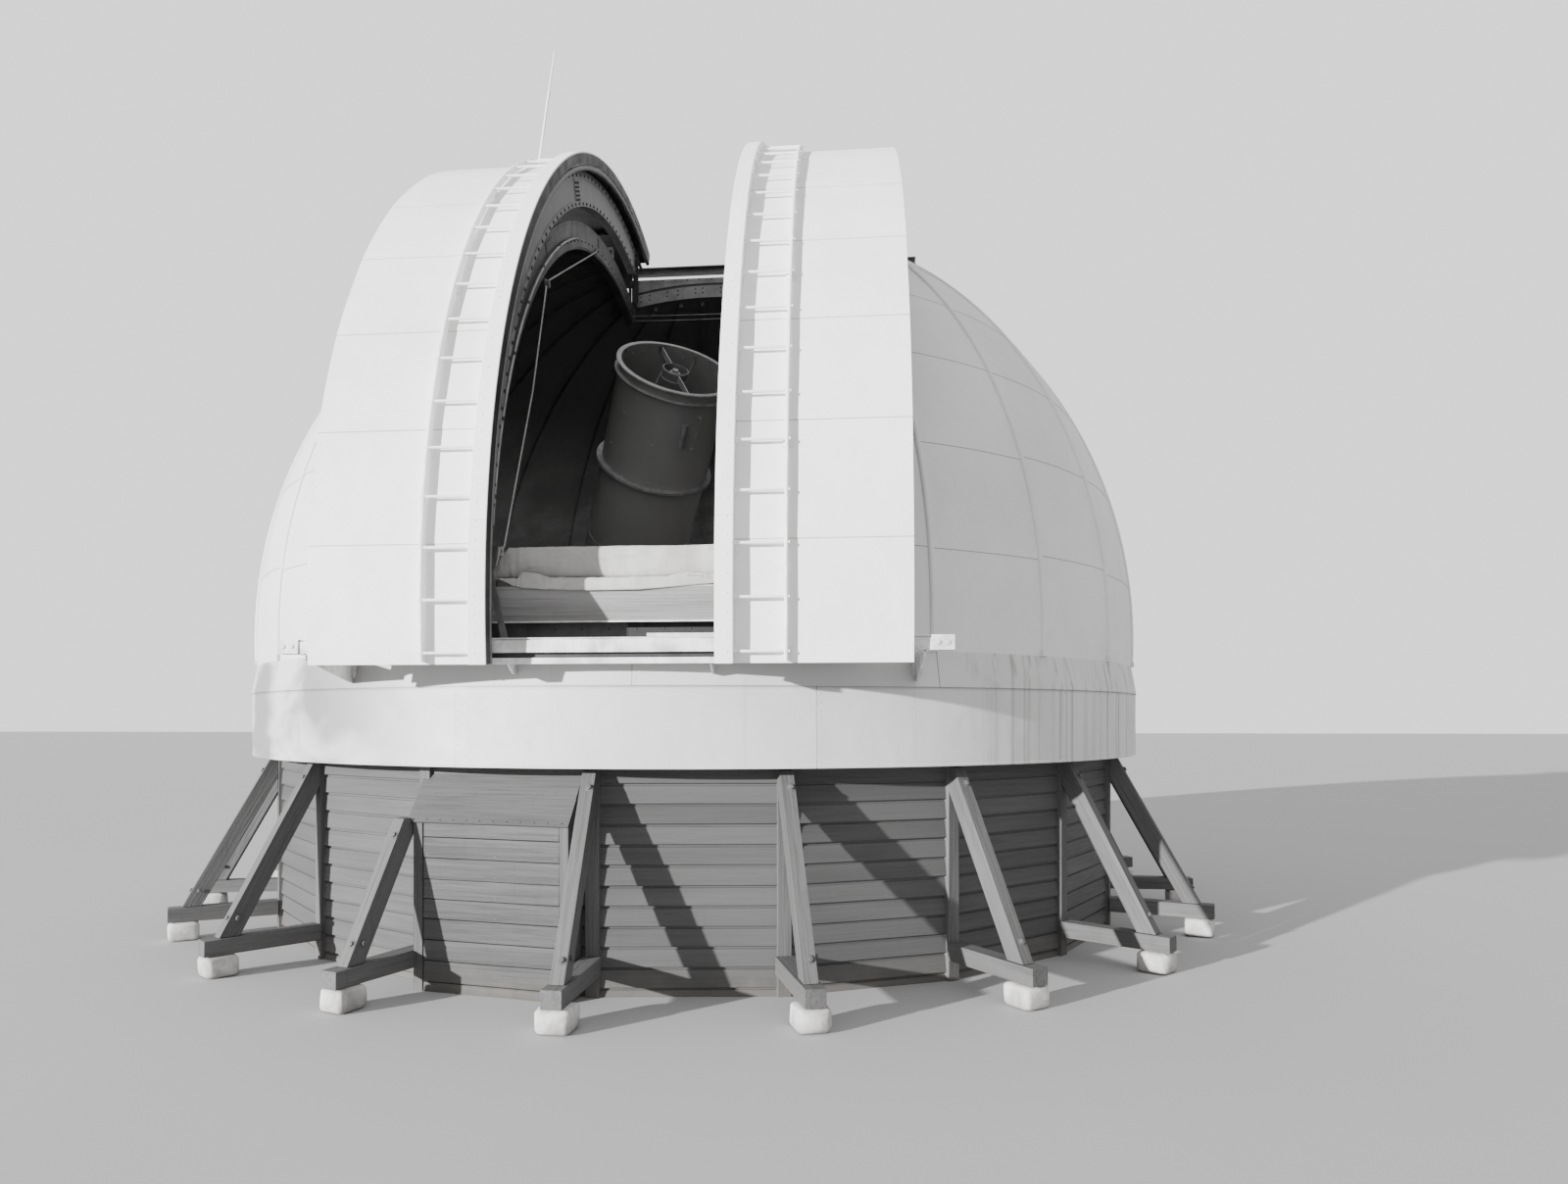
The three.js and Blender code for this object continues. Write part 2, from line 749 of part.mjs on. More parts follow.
function ladder() {
  const side = shutterInner + curbWidth + seat;
  const end = rungFirst + rungPitch * (rungCount - 1);
  const across = (half, low, high) => [
    [ladderRail - half, low],
    [ladderRail + half, low],
    [ladderRail + half, high],
    [ladderRail - half, high],
  ];
  const bodies = [arched(across(ladderHalf, ladderLow, ladderHigh), shutterHeight, rungFirst - 1, end + 1, rungCount + 1)];
  const at = (x, angle) => new THREE.Vector3(
    x,
    -rungRadius * Math.cos(angle * turn),
    shutterHeight + rungRadius * Math.sin(angle * turn),
  );
  for (let i = 0; i < rungCount; i += 1) {
    const angle = rungFirst + rungPitch * i;
    bodies.push(cylinder(rungBar, at(side, angle), at(ladderRail + rungStub, angle), 5));
    if (i % standPitch === 0) {
      const foot = across(standHalf, standFoot, ladderLow + 2);
      bodies.push(arched(foot, shutterHeight, angle - standAngle, angle + standAngle, 1));
    }
  }
  return joined(bodies);
}

[['shutter_skin', shutterSkin(), whitePaint], ['shutter_curb', shutterCurb(), whitePaint],
  ['shutter_girder', shutterGirder(), steelPaint], ['ladder', ladder(), whitePaint],
].forEach(([name, body, material]) => {
  add(`${name}_right`, body, material);
  add(`${name}_left`, mirrored(body), material);
});

// Lightning rod on the left ladder's upper end
const rodAngle = 64.5;
const rodLean = 157;
const rodHeight = 1100;

function lightningRod() {
  const footRadius = shutterRadius - 25;
  const foot = new THREE.Vector3(
    -ladderRail - 45,
    -footRadius * Math.cos(rodAngle * turn),
    shutterHeight + footRadius * Math.sin(rodAngle * turn),
  );
  const tip = foot.clone().add(new THREE.Vector3(rodLean, 0, rodHeight));
  const shaft = cylinder(11, foot, tip, 8);
  const base = cylinder(26, foot, foot.clone().lerp(tip, 0.06), 8);
  const under = arched([
    [foot.x - 90, footRadius - 300],
    [foot.x + 90, footRadius - 300],
    [foot.x + 90, shutterRadius + seat],
    [foot.x - 90, shutterRadius + seat],
  ], shutterHeight, shutterStart, shutterEnd, shutterSteps);
  return joined([shaft, base]).subtract(under);
}

add('lightning_rod', lightningRod(), whitePaint);

// Telescope: pier, polar housing, polar head with the cross housing, cross shaft and tube.
// The tube's axis and the cross axis are found from the place of its open end.
const aim = outward(tubeAzimuth, Math.cos(tubeElevation * turn), Math.sin(tubeElevation * turn));
const crossing = new THREE.Vector3(0, 0, mountHeight);
const reachBack = tubeEnd.clone().sub(crossing).dot(aim);
const tubeMiddle = tubeEnd.clone().addScaledVector(aim, -reachBack);
const cross = tubeMiddle.clone().sub(crossing);
const crossLength = cross.length();
cross.normalize();
const level = new THREE.Vector3(-cross.y, cross.x, 0).normalize();
const lift = new THREE.Vector3().crossVectors(level, cross);
if (lift.z < 0) {
  lift.negate();
}
const back = level.y > 0 ? level : level.clone().negate();
const slope = Math.asin(Math.sin(polarElevation * turn) / lift.z);
const polar = back.clone().multiplyScalar(Math.cos(slope)).addScaledVector(lift, Math.sin(slope));

const tubeWall = 10;
const tubeLength = 3820;
const rimRadius = 567;
const rimThickness = 16;
const ringLow = -107; // lower face of the second ring
const cellRadius = 560;
const cellFloor = 110;
const cellHeight = 260;
const bandRadius = 560;
const tubeSides = 32;

// The tube's own frame has its axis along Z with the open end at the top
const tubeGroup = new THREE.Group();
tubeGroup.position.copy(tubeEnd);
tubeGroup.quaternion.setFromUnitVectors(new THREE.Vector3(0, 0, 1), aim);
tubeGroup.updateMatrix();
dome.add(tubeGroup);

const shaftSides = 16;
const runningGap = 4;
const polarShaft = 95;
const crossShaft = 85;
const housingWall = 55;

function alongPolar(distance) {
  return crossing.clone().addScaledVector(polar, distance);
}

function alongCross(distance) {
  return crossing.clone().addScaledVector(cross, distance);
}

function bored(radius, bore, from, to) {
  const past = to.clone().sub(from).normalize();
  const hole = cylinder(bore, from.clone().addScaledVector(past, -5), to.clone().addScaledVector(past, 5), shaftSides);
  return cylinder(radius, from, to, shaftSides).subtract(hole);
}

const headBack = -245; // lower face of the cross housing's neck along the polar axis
const housingEnd = -1000;

function polarHousing() {
  const from = alongPolar(housingEnd);
  const to = alongPolar(headBack - seat);
  const barrel = bored(polarShaft + runningGap + housingWall, polarShaft + runningGap, from, to);
  const middle = alongPolar((housingEnd + headBack) / 2);
  const saddle = box(middle.x - 190, middle.x + 190, middle.y - 240, middle.y + 240, middle.z - 420, middle.z);
  const bore = cylinder(polarShaft + runningGap, alongPolar(housingEnd - 300), alongPolar(300), shaftSides);
  return barrel.add(saddle.subtract(bore));
}

function pier() {
  const middle = alongPolar((housingEnd + headBack) / 2);
  const top = middle.z - 420 - seat;
  const foot = 520;
  const head = 300;
  const column = new THREE.CylinderGeometry(head * Math.SQRT2, foot * Math.SQRT2, top, 4);
  column.rotateX(Math.PI / 2);
  column.rotateZ(Math.PI / 4);
  return solid(column.translate(middle.x, middle.y, top / 2));
}

function polarHead() {
  const neck = cylinder(polarShaft + 40, alongPolar(headBack), alongPolar(0), shaftSides);
  const shaft = cylinder(polarShaft, alongPolar(housingEnd - 20), alongPolar(headBack + 5), shaftSides);
  const barrel = cylinder(crossShaft + runningGap + housingWall, alongCross(-330), alongCross(250), shaftSides);
  const bore = cylinder(crossShaft + runningGap, alongCross(-340), alongCross(260), shaftSides);
  return joined([neck, shaft, barrel]).subtract(bore);
}

const weightRadius = 400;
const weightNear = 780;
const weightFar = 1180;

function crossAxis() {
  const shaft = cylinder(crossShaft, alongCross(-weightFar - 60), alongCross(260), shaftSides);
  const band = new THREE.CylinderGeometry(bandRadius + seat, bandRadius + seat, 2 * tubeLength, tubeSides);
  const room = solid(band.rotateX(Math.PI / 2).applyMatrix4(tubeGroup.matrix));
  const plate = cylinder(230, alongCross(250 + seat), alongCross(crossLength - 400), shaftSides).subtract(room);
  const weight = cylinder(weightRadius, alongCross(-weightFar), alongCross(-weightNear), shaftSides);
  const collar = cylinder(150, alongCross(-weightNear - 5), alongCross(-330 - seat), shaftSides);
  return joined([shaft, plate, weight, collar]);
}

const flangeRadius = 585;
const flangeTop = -1005;
const flangeSplit = -1020;
const flangeBottom = -1035;
const cellTop = -tubeLength + cellHeight;
const tubeBore = tubeRadius - tubeWall;

function tubeTop() {
  return [
    [tubeBore, 0],
    [rimRadius, 0],
    [rimRadius, -rimThickness],
    [tubeRadius, -rimThickness],
    [tubeRadius, ringLow + rimThickness],
    [rimRadius, ringLow + rimThickness],
    [rimRadius, ringLow],
    [tubeRadius, ringLow],
    [tubeRadius, flangeTop],
    [flangeRadius, flangeTop],
    [flangeRadius, flangeSplit],
    [tubeBore, flangeSplit],
  ];
}

function tubeBarrel() {
  const middle = -reachBack;
  return [
    [tubeBore, flangeSplit - seat],
    [flangeRadius, flangeSplit - seat],
    [flangeRadius, flangeBottom],
    [tubeRadius, flangeBottom],
    [tubeRadius, middle + 300],
    [bandRadius, middle + 300],
    [bandRadius, middle - 300],
    [tubeRadius, middle - 300],
    [tubeRadius, cellTop + seat],
    [tubeBore, cellTop + seat],
  ];
}

function mirrorCell() {
  return [
    [tubeBore, cellTop],
    [cellRadius, cellTop],
    [cellRadius, -tubeLength],
    [0, -tubeLength],
    [0, -tubeLength + cellFloor],
    [tubeBore, -tubeLength + cellFloor],
  ];
}

const hubRadius = 122;
const hubTop = -8;
const hubBottom = -110;
const vaneAzimuth = 118.5;
const stayAzimuth = 81;

// A cup on two flat vanes, with one thin stay
function spider() {
  const reach = tubeRadius - tubeWall - seat;
  const cup = new THREE.CylinderGeometry(hubRadius, hubRadius, hubTop - hubBottom, 20);
  const bodies = [solid(cup.rotateX(Math.PI / 2).translate(0, 0, (hubTop + hubBottom) / 2))];
  [[vaneAzimuth, 5, 60], [vaneAzimuth + 180, 5, 60], [stayAzimuth, 4, 8]].forEach(([azimuth, half, depth]) => {
    const vane = new THREE.BoxGeometry(reach, 2 * half, depth);
    vane.translate(reach / 2 + 40, 0, -50);
    bodies.push(solid(vane.rotateZ(azimuth * turn)));
  });
  const hollow = new THREE.CylinderGeometry(hubRadius - 10, hubRadius - 10, 80, 20);
  const wall = solid(new THREE.CylinderGeometry(reach, reach, 400, tubeSides).rotateX(Math.PI / 2));
  return joined(bodies).intersect(wall).subtract(solid(hollow.rotateX(Math.PI / 2).translate(0, 0, -40)));
}

add('tube_top', revolved(tubeTop(), tubeSides), tubePaint, tubeGroup);
add('tube_barrel', revolved(tubeBarrel(), tubeSides), tubePaint, tubeGroup);
add('mirror_cell', revolved(mirrorCell(), tubeSides), tubePaint, tubeGroup);
add('spider', spider(), ironPaint, tubeGroup);

add('pier', pier(), masonry);
add('polar_housing', polarHousing(), ironPaint);
add('polar_head', polarHead(), ironPaint);
add('cross_axis', crossAxis(), ironPaint);

export default dome;
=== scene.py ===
from itertools import pairwise

import bpy
import numpy as np
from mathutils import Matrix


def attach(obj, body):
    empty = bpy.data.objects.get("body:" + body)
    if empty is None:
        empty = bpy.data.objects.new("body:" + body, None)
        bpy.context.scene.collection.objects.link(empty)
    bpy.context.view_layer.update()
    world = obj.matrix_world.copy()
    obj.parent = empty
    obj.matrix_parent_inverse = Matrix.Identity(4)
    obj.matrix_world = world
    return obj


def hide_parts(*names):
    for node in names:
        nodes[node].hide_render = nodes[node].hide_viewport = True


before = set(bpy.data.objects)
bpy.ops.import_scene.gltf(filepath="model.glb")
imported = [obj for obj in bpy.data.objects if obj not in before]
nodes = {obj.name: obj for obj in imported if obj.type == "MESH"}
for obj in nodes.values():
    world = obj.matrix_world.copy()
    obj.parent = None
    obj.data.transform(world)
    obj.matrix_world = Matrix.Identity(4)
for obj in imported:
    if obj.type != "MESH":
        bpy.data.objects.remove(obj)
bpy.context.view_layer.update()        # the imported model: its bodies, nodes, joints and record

draw = np.random.default_rng(20)  # every random size and shift comes from here, in order
upward = np.array([0, 0, 1.0])
bothSides = ((1, "right"), (-1, "left"))
print("frame loaded,", len(nodes), "nodes")


# Shapes: points on a grid of two parameters, with faces between neighbours

def joined(*parts):
    # points from their coordinates, which may be arrays of different shapes
    return np.stack(np.broadcast_arrays(*parts), axis=-1)


def polar(azimuth, radius, height):
    # azimuth a runs from -Y towards +X: the point is (r sin a, -r cos a, z)
    turn = np.radians(azimuth)
    return joined(radius * np.sin(turn), -radius * np.cos(turn), height)


def onArch(angle, radius, x, centre):
    # an arch turns about the X axis at the centre's height: (x, -r cos t, centre + r sin t)
    turn = np.radians(angle)
    return joined(x, -radius * np.cos(turn), centre + radius * np.sin(turn))


def onSphere(azimuth, elevation, radius):
    # (r cos e sin a, -r cos e cos a, centre + r sin e)
    rise = np.radians(elevation)
    return polar(azimuth, radius * np.cos(rise), dome["centre"] + radius * np.sin(rise))


def unit(vector):
    vector = np.asarray(vector, float)
    return vector / np.linalg.norm(vector, axis=-1, keepdims=True)


def gridFaces(rows, columns, closedRows=False, closedColumns=False):
    # a quad joins each point to its neighbours at the next column and the next row
    i = np.arange(rows if closedRows else rows - 1)[:, None]
    j = np.arange(columns if closedColumns else columns - 1)[None, :]
    below, right = (i + 1) % rows * columns, (j + 1) % columns
    return np.stack([i * columns + j, i * columns + right, below + right, below + j], axis=-1).reshape(-1, 4)


def roundPath(angles):
    # a section seen end on: unit circle points (cos s, sin s)
    turn = np.radians(angles)
    return np.stack([np.cos(turn), np.sin(turn)], axis=-1)


class Shape:
    # closed surfaces gathered as arrays and made into one mesh
    def __init__(self, name):
        self.name = name
        self.points, self.faces, self.slots, self.grain, self.edge = [], [], [], [], []
        self.total = 0

    def add(self, points, faces, slot=0, axis=None, edge=0.0):
        # the signed volume, a sum of corner products over the faces, tells whether they point outwards
        points = np.asarray(points, float).reshape(-1, 3)
        seen = points - points.mean(0)
        volume = 0.0
        for block in faces:
            for k in range(1, block.shape[1] - 1):
                a, b, c = seen[block[:, 0]], seen[block[:, k]], seen[block[:, k + 1]]
                volume += (a * np.cross(b, c)).sum()
        if volume < 0:
            faces = [block[:, ::-1] for block in faces]
        grain = points
        if axis is not None:
            along = unit(axis)
            across = unit(np.cross(along, (0.31, 0.17, 0.93)))
            basis = np.stack([along, across, np.cross(along, across)], axis=1)
            grain = points @ basis + draw.uniform(-9, 9, 3)
        self.points.append(points)
        self.grain.append(grain)
        self.edge.append(np.broadcast_to(np.asarray(edge, float).reshape(-1), (len(points),)))
        self.faces += [block + self.total for block in faces]
        self.slots += [np.full(len(block), slot) for block in faces]
        self.total += len(points)

    def tube(self, grid, closed=False, **look):
        # a closed section at each step along a path, with a cap at both ends unless the path is closed
        steps, sides = grid.shape[:2]
        faces = [gridFaces(steps, sides, closed, True)]
        if not closed:
            ring = np.arange(sides)[None]
            faces += [ring[:, ::-1], ring + (steps - 1) * sides]
        self.add(grid, faces, **look)

    def sheet(self, outer, inner, closed=False, **look):
        # a plate between two grids, with its rim closed; closed joins the last column to the first
        rows, columns = outer.shape[:2]
        count = rows * columns
        first, last = np.arange(columns), np.arange(columns) + count - columns
        if closed:
            loops = [first, last[::-1]]
        else:
            up = np.arange(rows) * columns
            loops = [np.concatenate([first, up[1:] + columns - 1, last[-2::-1], up[-2:0:-1]])]
        quads = gridFaces(rows, columns, False, closed)
        rims = [np.stack([np.roll(b, -1), b, b + count, np.roll(b, -1) + count], axis=1) for b in loops]
        edge = np.broadcast_to(np.asarray(look.pop("edge", 0.0), float), (rows, columns)).reshape(-1)
        points = np.concatenate([outer.reshape(-1, 3), inner.reshape(-1, 3)])
        self.add(points, [quads, quads[:, ::-1] + count, *rims], edge=np.tile(edge, 2), **look)

    def prism(self, outline, origin, right, up, depth, **look):
        # a flat outline (a, b) at origin + a right + b up, given a depth across it
        outline = np.asarray(outline, float)
        right, up = unit(right), unit(up)
        through = np.cross(right, up) * depth / 2
        face = np.asarray(origin) + outline[:, :1] * right + outline[:, 1:] * up
        self.tube(np.stack([face - through, face + through]), **look)

    def beam(self, start, end, facing, width, depth, **look):
        # a rectangular bar from start to end; depth lies along facing
        start, end = np.asarray(start, float), np.asarray(end, float)
        along = unit(end - start)
        side = unit(np.cross(along, facing))
        out = np.cross(side, along)
        corners = [-side * width - out * depth, side * width - out * depth,
                   side * width + out * depth, -side * width + out * depth]
        ring = np.stack(corners) / 2
        self.tube(np.stack([start + ring, end + ring]), axis=look.pop("axis", along), **look)

    def post(self, x, y, low, high, width, depth, **look):
        # an upright bar
        self.beam((x, y, low), (x, y, high), (0, 1, 0), width, depth, **look)

    def across(self, half, y, z, width, depth, **look):
        # a level bar along X
        self.beam((-half, y, z), (half, y, z), (0, 1, 0), width, depth, **look)

    def rod(self, path, radius, sides=10, **look):
        # a circle carried along a path: p + r (cos s side + sin s up), square to its direction
        path = np.asarray(path, float)
        along = unit(np.gradient(path, axis=0))
        spread = path[-1] - path[0]
        fixed = np.eye(3)[np.argmin(np.abs(spread))]
        side = unit(np.cross(along, fixed))
        up = np.cross(along, side)
        ring = roundPath(np.arange(sides) * 360 / sides)
        size = np.broadcast_to(np.asarray(radius, float), (len(path),))[:, None, None]
        grid = path[:, None] + size * (ring[None, :, :1] * side[:, None] + ring[None, :, 1:] * up[:, None])
        self.tube(grid, **look)

    def heads(self, centres, normals, radius, height, sides=6, flat=0.72, **look):
        # button heads: a ring on the plate, a smaller one at most of the height, and a point on top
        centres = np.asarray(centres, float).reshape(-1, 3)
        normals = unit(np.broadcast_to(np.asarray(normals, float), centres.shape))
        level = np.where(np.abs(normals[:, :1]) < 0.9, [[1.0, 0, 0]], [[0, 1.0, 0]])
        side = unit(np.cross(normals, level))
        up = np.cross(normals, side)
        ring = roundPath(np.arange(sides) * 360 / sides + 8)
        flatRing = ring[None, :, :1] * side[:, None] + ring[None, :, 1:] * up[:, None]
        base = centres[:, None] + radius * flatRing - normals[:, None] * height * 0.2
        brim = centres[:, None] + radius * flat * flatRing + normals[:, None] * height * 0.75
        top = (centres + normals * height)[:, None]
        points = np.concatenate([base, brim, top], axis=1)
        k, each = np.arange(sides), 2 * sides + 1
        after = (k + 1) % sides
        start = (np.arange(len(centres)) * each)[:, None, None]
        wall = np.stack([k, after, after + sides, k + sides], axis=1)[None] + start
        cap = np.stack([k + sides, after + sides, np.full(sides, 2 * sides)], axis=1)[None] + start
        foot = k[::-1][None, None] + start
        self.add(points, [wall.reshape(-1, 4), cap.reshape(-1, 3), foot.reshape(-1, sides)], **look)

    def make(self, body, looks, replaced=(), slot=None, bevel=0.0, smooth=32):
        mesh = bpy.data.meshes.new(self.name)
        points = np.concatenate(self.points)
        sizes = np.concatenate([np.full(len(block), block.shape[1]) for block in self.faces])
        corners = np.concatenate([block.reshape(-1) for block in self.faces])
        mesh.vertices.add(len(points))
        mesh.vertices.foreach_set("co", points.astype(np.float32).reshape(-1))
        mesh.loops.add(len(corners))
        mesh.loops.foreach_set("vertex_index", corners.astype(np.int32))
        mesh.polygons.add(len(sizes))
        mesh.polygons.foreach_set("loop_start", (np.cumsum(sizes) - sizes).astype(np.int32))
        mesh.polygons.foreach_set("material_index", np.concatenate(self.slots).astype(np.int32))
        mesh.update(calc_edges=True)
        layer = mesh.attributes.new("grain", "FLOAT_VECTOR", "POINT")
        layer.data.foreach_set("vector", np.concatenate(self.grain).astype(np.float32).reshape(-1))
        # this mark holds dark joints and also painted shade on some ends, strips and canvas edges
        layer = mesh.attributes.new("seam", "FLOAT", "POINT")
        layer.data.foreach_set("value", np.concatenate(self.edge).astype(np.float32))
        mesh.shade_smooth()
        mesh.set_sharp_from_angle(angle=np.radians(smooth))
        for look in looks:
            mesh.materials.append(finishes[look])
        piece = bpy.data.objects.new(self.name, mesh)
        bpy.context.scene.collection.objects.link(piece)
        if bevel:
            rounded = piece.modifiers.new("worn edges", "BEVEL")
            rounded.width = bevel
            rounded.segments = 2
            rounded.limit_method = "ANGLE"
            rounded.angle_limit = np.radians(38)
        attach(piece, body)
        if replaced:
            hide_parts(*replaced)
        return piece


# Materials

class Value:
    # wraps a socket, so that an expression on values adds its Math nodes
    def __init__(self, tree, socket):
        self.tree, self.socket = tree, socket

    def math(self, operation, first, second):
        return addNode(self.tree, "ShaderNodeMath", {"operation": operation}, {0: first, 1: second})

    def __add__(self, other):
        return self.math("ADD", self, other)

    def __radd__(self, other):
        return self.math("ADD", other, self)

    def __sub__(self, other):
        return self.math("SUBTRACT", self, other)

    def __rsub__(self, other):
        return self.math("SUBTRACT", other, self)

    def __mul__(self, other):
        return self.math("MULTIPLY", self, other)

    def __rmul__(self, other):
        return self.math("MULTIPLY", other, self)


def addNode(tree, kind, settings=None, sockets=None, output=0):
    # settings are set before the sockets, which take a value or a link
    node = tree.nodes.new(kind)
    for key, setting in (settings or {}).items():
        setattr(node, key, setting)
    for key, item in (sockets or {}).items():
        if isinstance(item, Value):
            tree.links.new(item.socket, node.inputs[key])
        else:
            node.inputs[key].default_value = item
    return Value(tree, node.outputs[output])


class Finish:
    # one material: helpers add the noises and masks that its finish is made of
    def __init__(self, name):
        self.material = bpy.data.materials.new(name)
        self.material.use_nodes = True
        self.tree = self.material.node_tree
        self.shader = self.tree.nodes["Principled BSDF"]
        self.place = self.node("ShaderNodeTexCoord", output="Object")
        self.grain = self.node("ShaderNodeAttribute", {"attribute_name": "grain"}, output="Vector")
        self.seam = self.node("ShaderNodeAttribute", {"attribute_name": "seam"}, output="Fac")

    def node(self, kind, settings=None, sockets=None, output=0):
        return addNode(self.tree, kind, settings, sockets, output)

    def stretched(self, vector, scale):
        return self.node("ShaderNodeVectorMath", {"operation": "MULTIPLY"}, {0: vector, 1: scale})

    def noise(self, vector, scale, detail=3.0, roughness=0.55, twist=0.0):
        sockets = {"Vector": vector, "Scale": scale, "Detail": detail, "Roughness": roughness,
                   "Distortion": twist}
        return self.node("ShaderNodeTexNoise", None, sockets)

    def streaks(self, vector, scale, *shape):
        return self.noise(self.stretched(vector, scale), *shape)

    def between(self, value, low, high, start=0.0, end=1.0):
        # rises smoothly from start to end as the value goes from low to high
        sockets = {"Value": value, "From Min": low, "From Max": high, "To Min": start, "To Max": end}
        return self.node("ShaderNodeMapRange", {"interpolation_type": "SMOOTHSTEP"}, sockets)

    def axis(self, vector, name):
        return self.node("ShaderNodeSeparateXYZ", None, {0: vector}, name)

    def colour(self, factor, first, second):
        sockets = {0: factor, 6: first, 7: second}
        return self.node("ShaderNodeMix", {"data_type": "RGBA"}, sockets, 2)

    def lay(self, factor, tone, warmth):
        # a grey over the colour so far
        self.base = self.colour(factor, self.base, grey(tone, warmth))

    def finish(self, roughness, height, depth, metallic=0.0):
        bump = self.node("ShaderNodeBump", None, {"Height": height, "Distance": depth})
        for name, item in (("Base Color", self.base), ("Roughness", roughness), ("Normal", bump)):
            self.tree.links.new(item.socket, self.shader.inputs[name])
        self.shader.inputs["Metallic"].default_value = metallic
        return self.material


def grey(tone, warmth=0.0):
    return (tone * (1 + warmth), tone, tone * (1 - warmth), 1.0)


def sheetPaint(name, tone, streaks, stain, right=0.0):
    # oil paint on sheet metal: soft mottling, rain streaks down the surface, dirt in the seams
    f = Finish(name)
    mottle = f.noise(f.place, 0.9, 4.0, 0.6)
    patch = f.noise(f.place, 3.5, 5.0, 0.65, 0.4)
    run = f.streaks(f.place, (7.0, 7.0, 0.22), 1.6, 5.0, 0.7)
    fineRun = f.streaks(f.place, (26.0, 26.0, 0.5), 1.0, 3.0, 0.6)
    f.base = f.colour(f.between(mottle, 0.3, 0.7), grey(tone * 0.93, 0.008), grey(tone * 1.03, 0.004))
    f.lay(f.between(patch, 0.5, 0.8) * 0.35, tone * 0.82, 0.012)
    wet = f.between(run, 0.56, 0.74) * f.between(fineRun, 0.4, 0.62) * streaks
    f.lay(wet, stain, 0.03)
    # right sets the rust stains down the right side; it also turns on painted shade over the left side
    if right:
        sideX = f.axis(f.place, "X")
        sideY = f.axis(f.place, "Y")
        hard = f.streaks(f.place, (15.0, 15.0, 0.12), 1.0, 4.0, 0.6)
        side = f.between(sideX, 2.3, 2.9) * f.between(sideY, 0.5, -1.0)
        f.lay(f.between(hard, 0.52, 0.7) * side * right, stain * 0.8, 0.05)
        # painted shadow: dappled shade laid over the drum's left side
        dappledShade = f.streaks(f.place, (1.0, 1.0, 1.7), 1.1, 3.0, 0.5, 0.3)
        left = f.between(sideX, -1.2, -2.6) * f.between(sideY, 0.5, -1.0)
        f.lay(f.between(dappledShade, 0.34, 0.6) * left * 0.9, tone * 0.33, 0.01)
    speck = f.noise(f.place, 42.0, 2.0)
    f.lay(f.between(speck, 0.74, 0.8) * 0.5, stain * 0.7, 0.03)
    f.lay(f.seam, stain * 0.22, 0.03)
    brush = f.streaks(f.place, (60.0, 60.0, 14.0), 1.0, 2.0)
    dents = f.noise(f.place, 2.2, 2.0)
    gloss = f.between(patch, 0.25, 0.8, 0.42, 0.62)
    return f.finish(gloss, dents + brush * 0.035, 0.012)


def timberPaint(name, tone, wear, rough=0.72, top=None):
    # thinly painted timber: grain along each board, stains that run down, splashed earth at the foot
    f = Finish(name)
    fibre = f.streaks(f.grain, (1.6, 42.0, 42.0), 1.0, 4.0, 0.65, 0.25)
    hair = f.streaks(f.grain, (6.0, 210.0, 210.0), 1.0, 2.0)
    board = f.streaks(f.grain, (0.35, 3.0, 3.0), 1.0, 2.0)
    drip = f.streaks(f.place, (16.0, 16.0, 1.1), 1.0, 4.0, 0.65)
    height = f.axis(f.place, "Z")
    f.base = f.colour(f.between(board, 0.3, 0.7), grey(tone * 0.8, 0.012), grey(tone * 1.15, 0.008))
    f.lay(f.between(fibre, 0.42, 0.75) * wear, tone * 0.45, 0.03)
    f.lay(f.between(drip, 0.55, 0.72) * 0.5 * wear, tone * 0.55, 0.03)
    f.lay(f.between(hair, 0.6, 0.75) * 0.35 * wear, tone * 1.6, 0.02)
    splash = f.between(f.noise(f.place, 9.0, 4.0) * 0.35 + height, 0.42, 0.12)
    f.lay(splash * 0.6, 0.1, 0.12)
    # painted shade: where top is given, the colour darkens towards that tone high up, where less light
    # reaches
    if top is not None:
        f.lay(f.between(height, 4.3, 6.3), top, 0.01)
    f.lay(f.seam * 0.85, tone * 0.22, 0.03)
    bumps = f.between(fibre, 0.3, 0.8) * 0.8 + hair * 0.3
    return f.finish(f.between(fibre, 0.3, 0.8, rough - 0.08, rough + 0.1), bumps, 0.0022)


def steelPaint(name, tone, rust=0.25, metallic=0.0, gloss=0.5, uneven=1.0):
    # dark paint on plate and angle: dusty faces, worn spots and a little rust; an even coat gets painted
    # light, paler low down
    f = Finish(name)
    dust = f.noise(f.place, 5.0, 5.0, 0.62, 0.3)
    spot = f.noise(f.place, 28.0, 4.0, 0.7)
    run = f.streaks(f.place, (22.0, 22.0, 1.4), 1.0, 3.0)
    spread = 0.3 * uneven
    f.base = f.colour(f.between(dust, 0.3, 0.72), grey(tone * (1 - spread), 0.01),
                      grey(tone * (1 + spread), 0.01))
    f.lay(f.between(spot, 0.6, 0.75) * rust, tone * 0.4, 0.2)
    f.lay(f.between(run, 0.58, 0.75) * 0.3 * uneven, tone * 1.7, 0.02)
    # painted light: with an even coat the colour turns paler towards the bottom
    if uneven < 1:
        f.lay(f.between(f.axis(f.place, "Z"), 5.3, 3.9), min(tone * 2.3, 0.8), 0.01)
    # painted shade: the seam mark darkens ends and strips that would catch the sun
    f.lay(f.seam * 0.8, tone * 0.3, 0.05)
    rough = f.between(dust, 0.3, 0.75, gloss - 0.08, gloss + 0.18)
    return f.finish(rough, spot * 0.5 + dust, 0.0025, metallic)


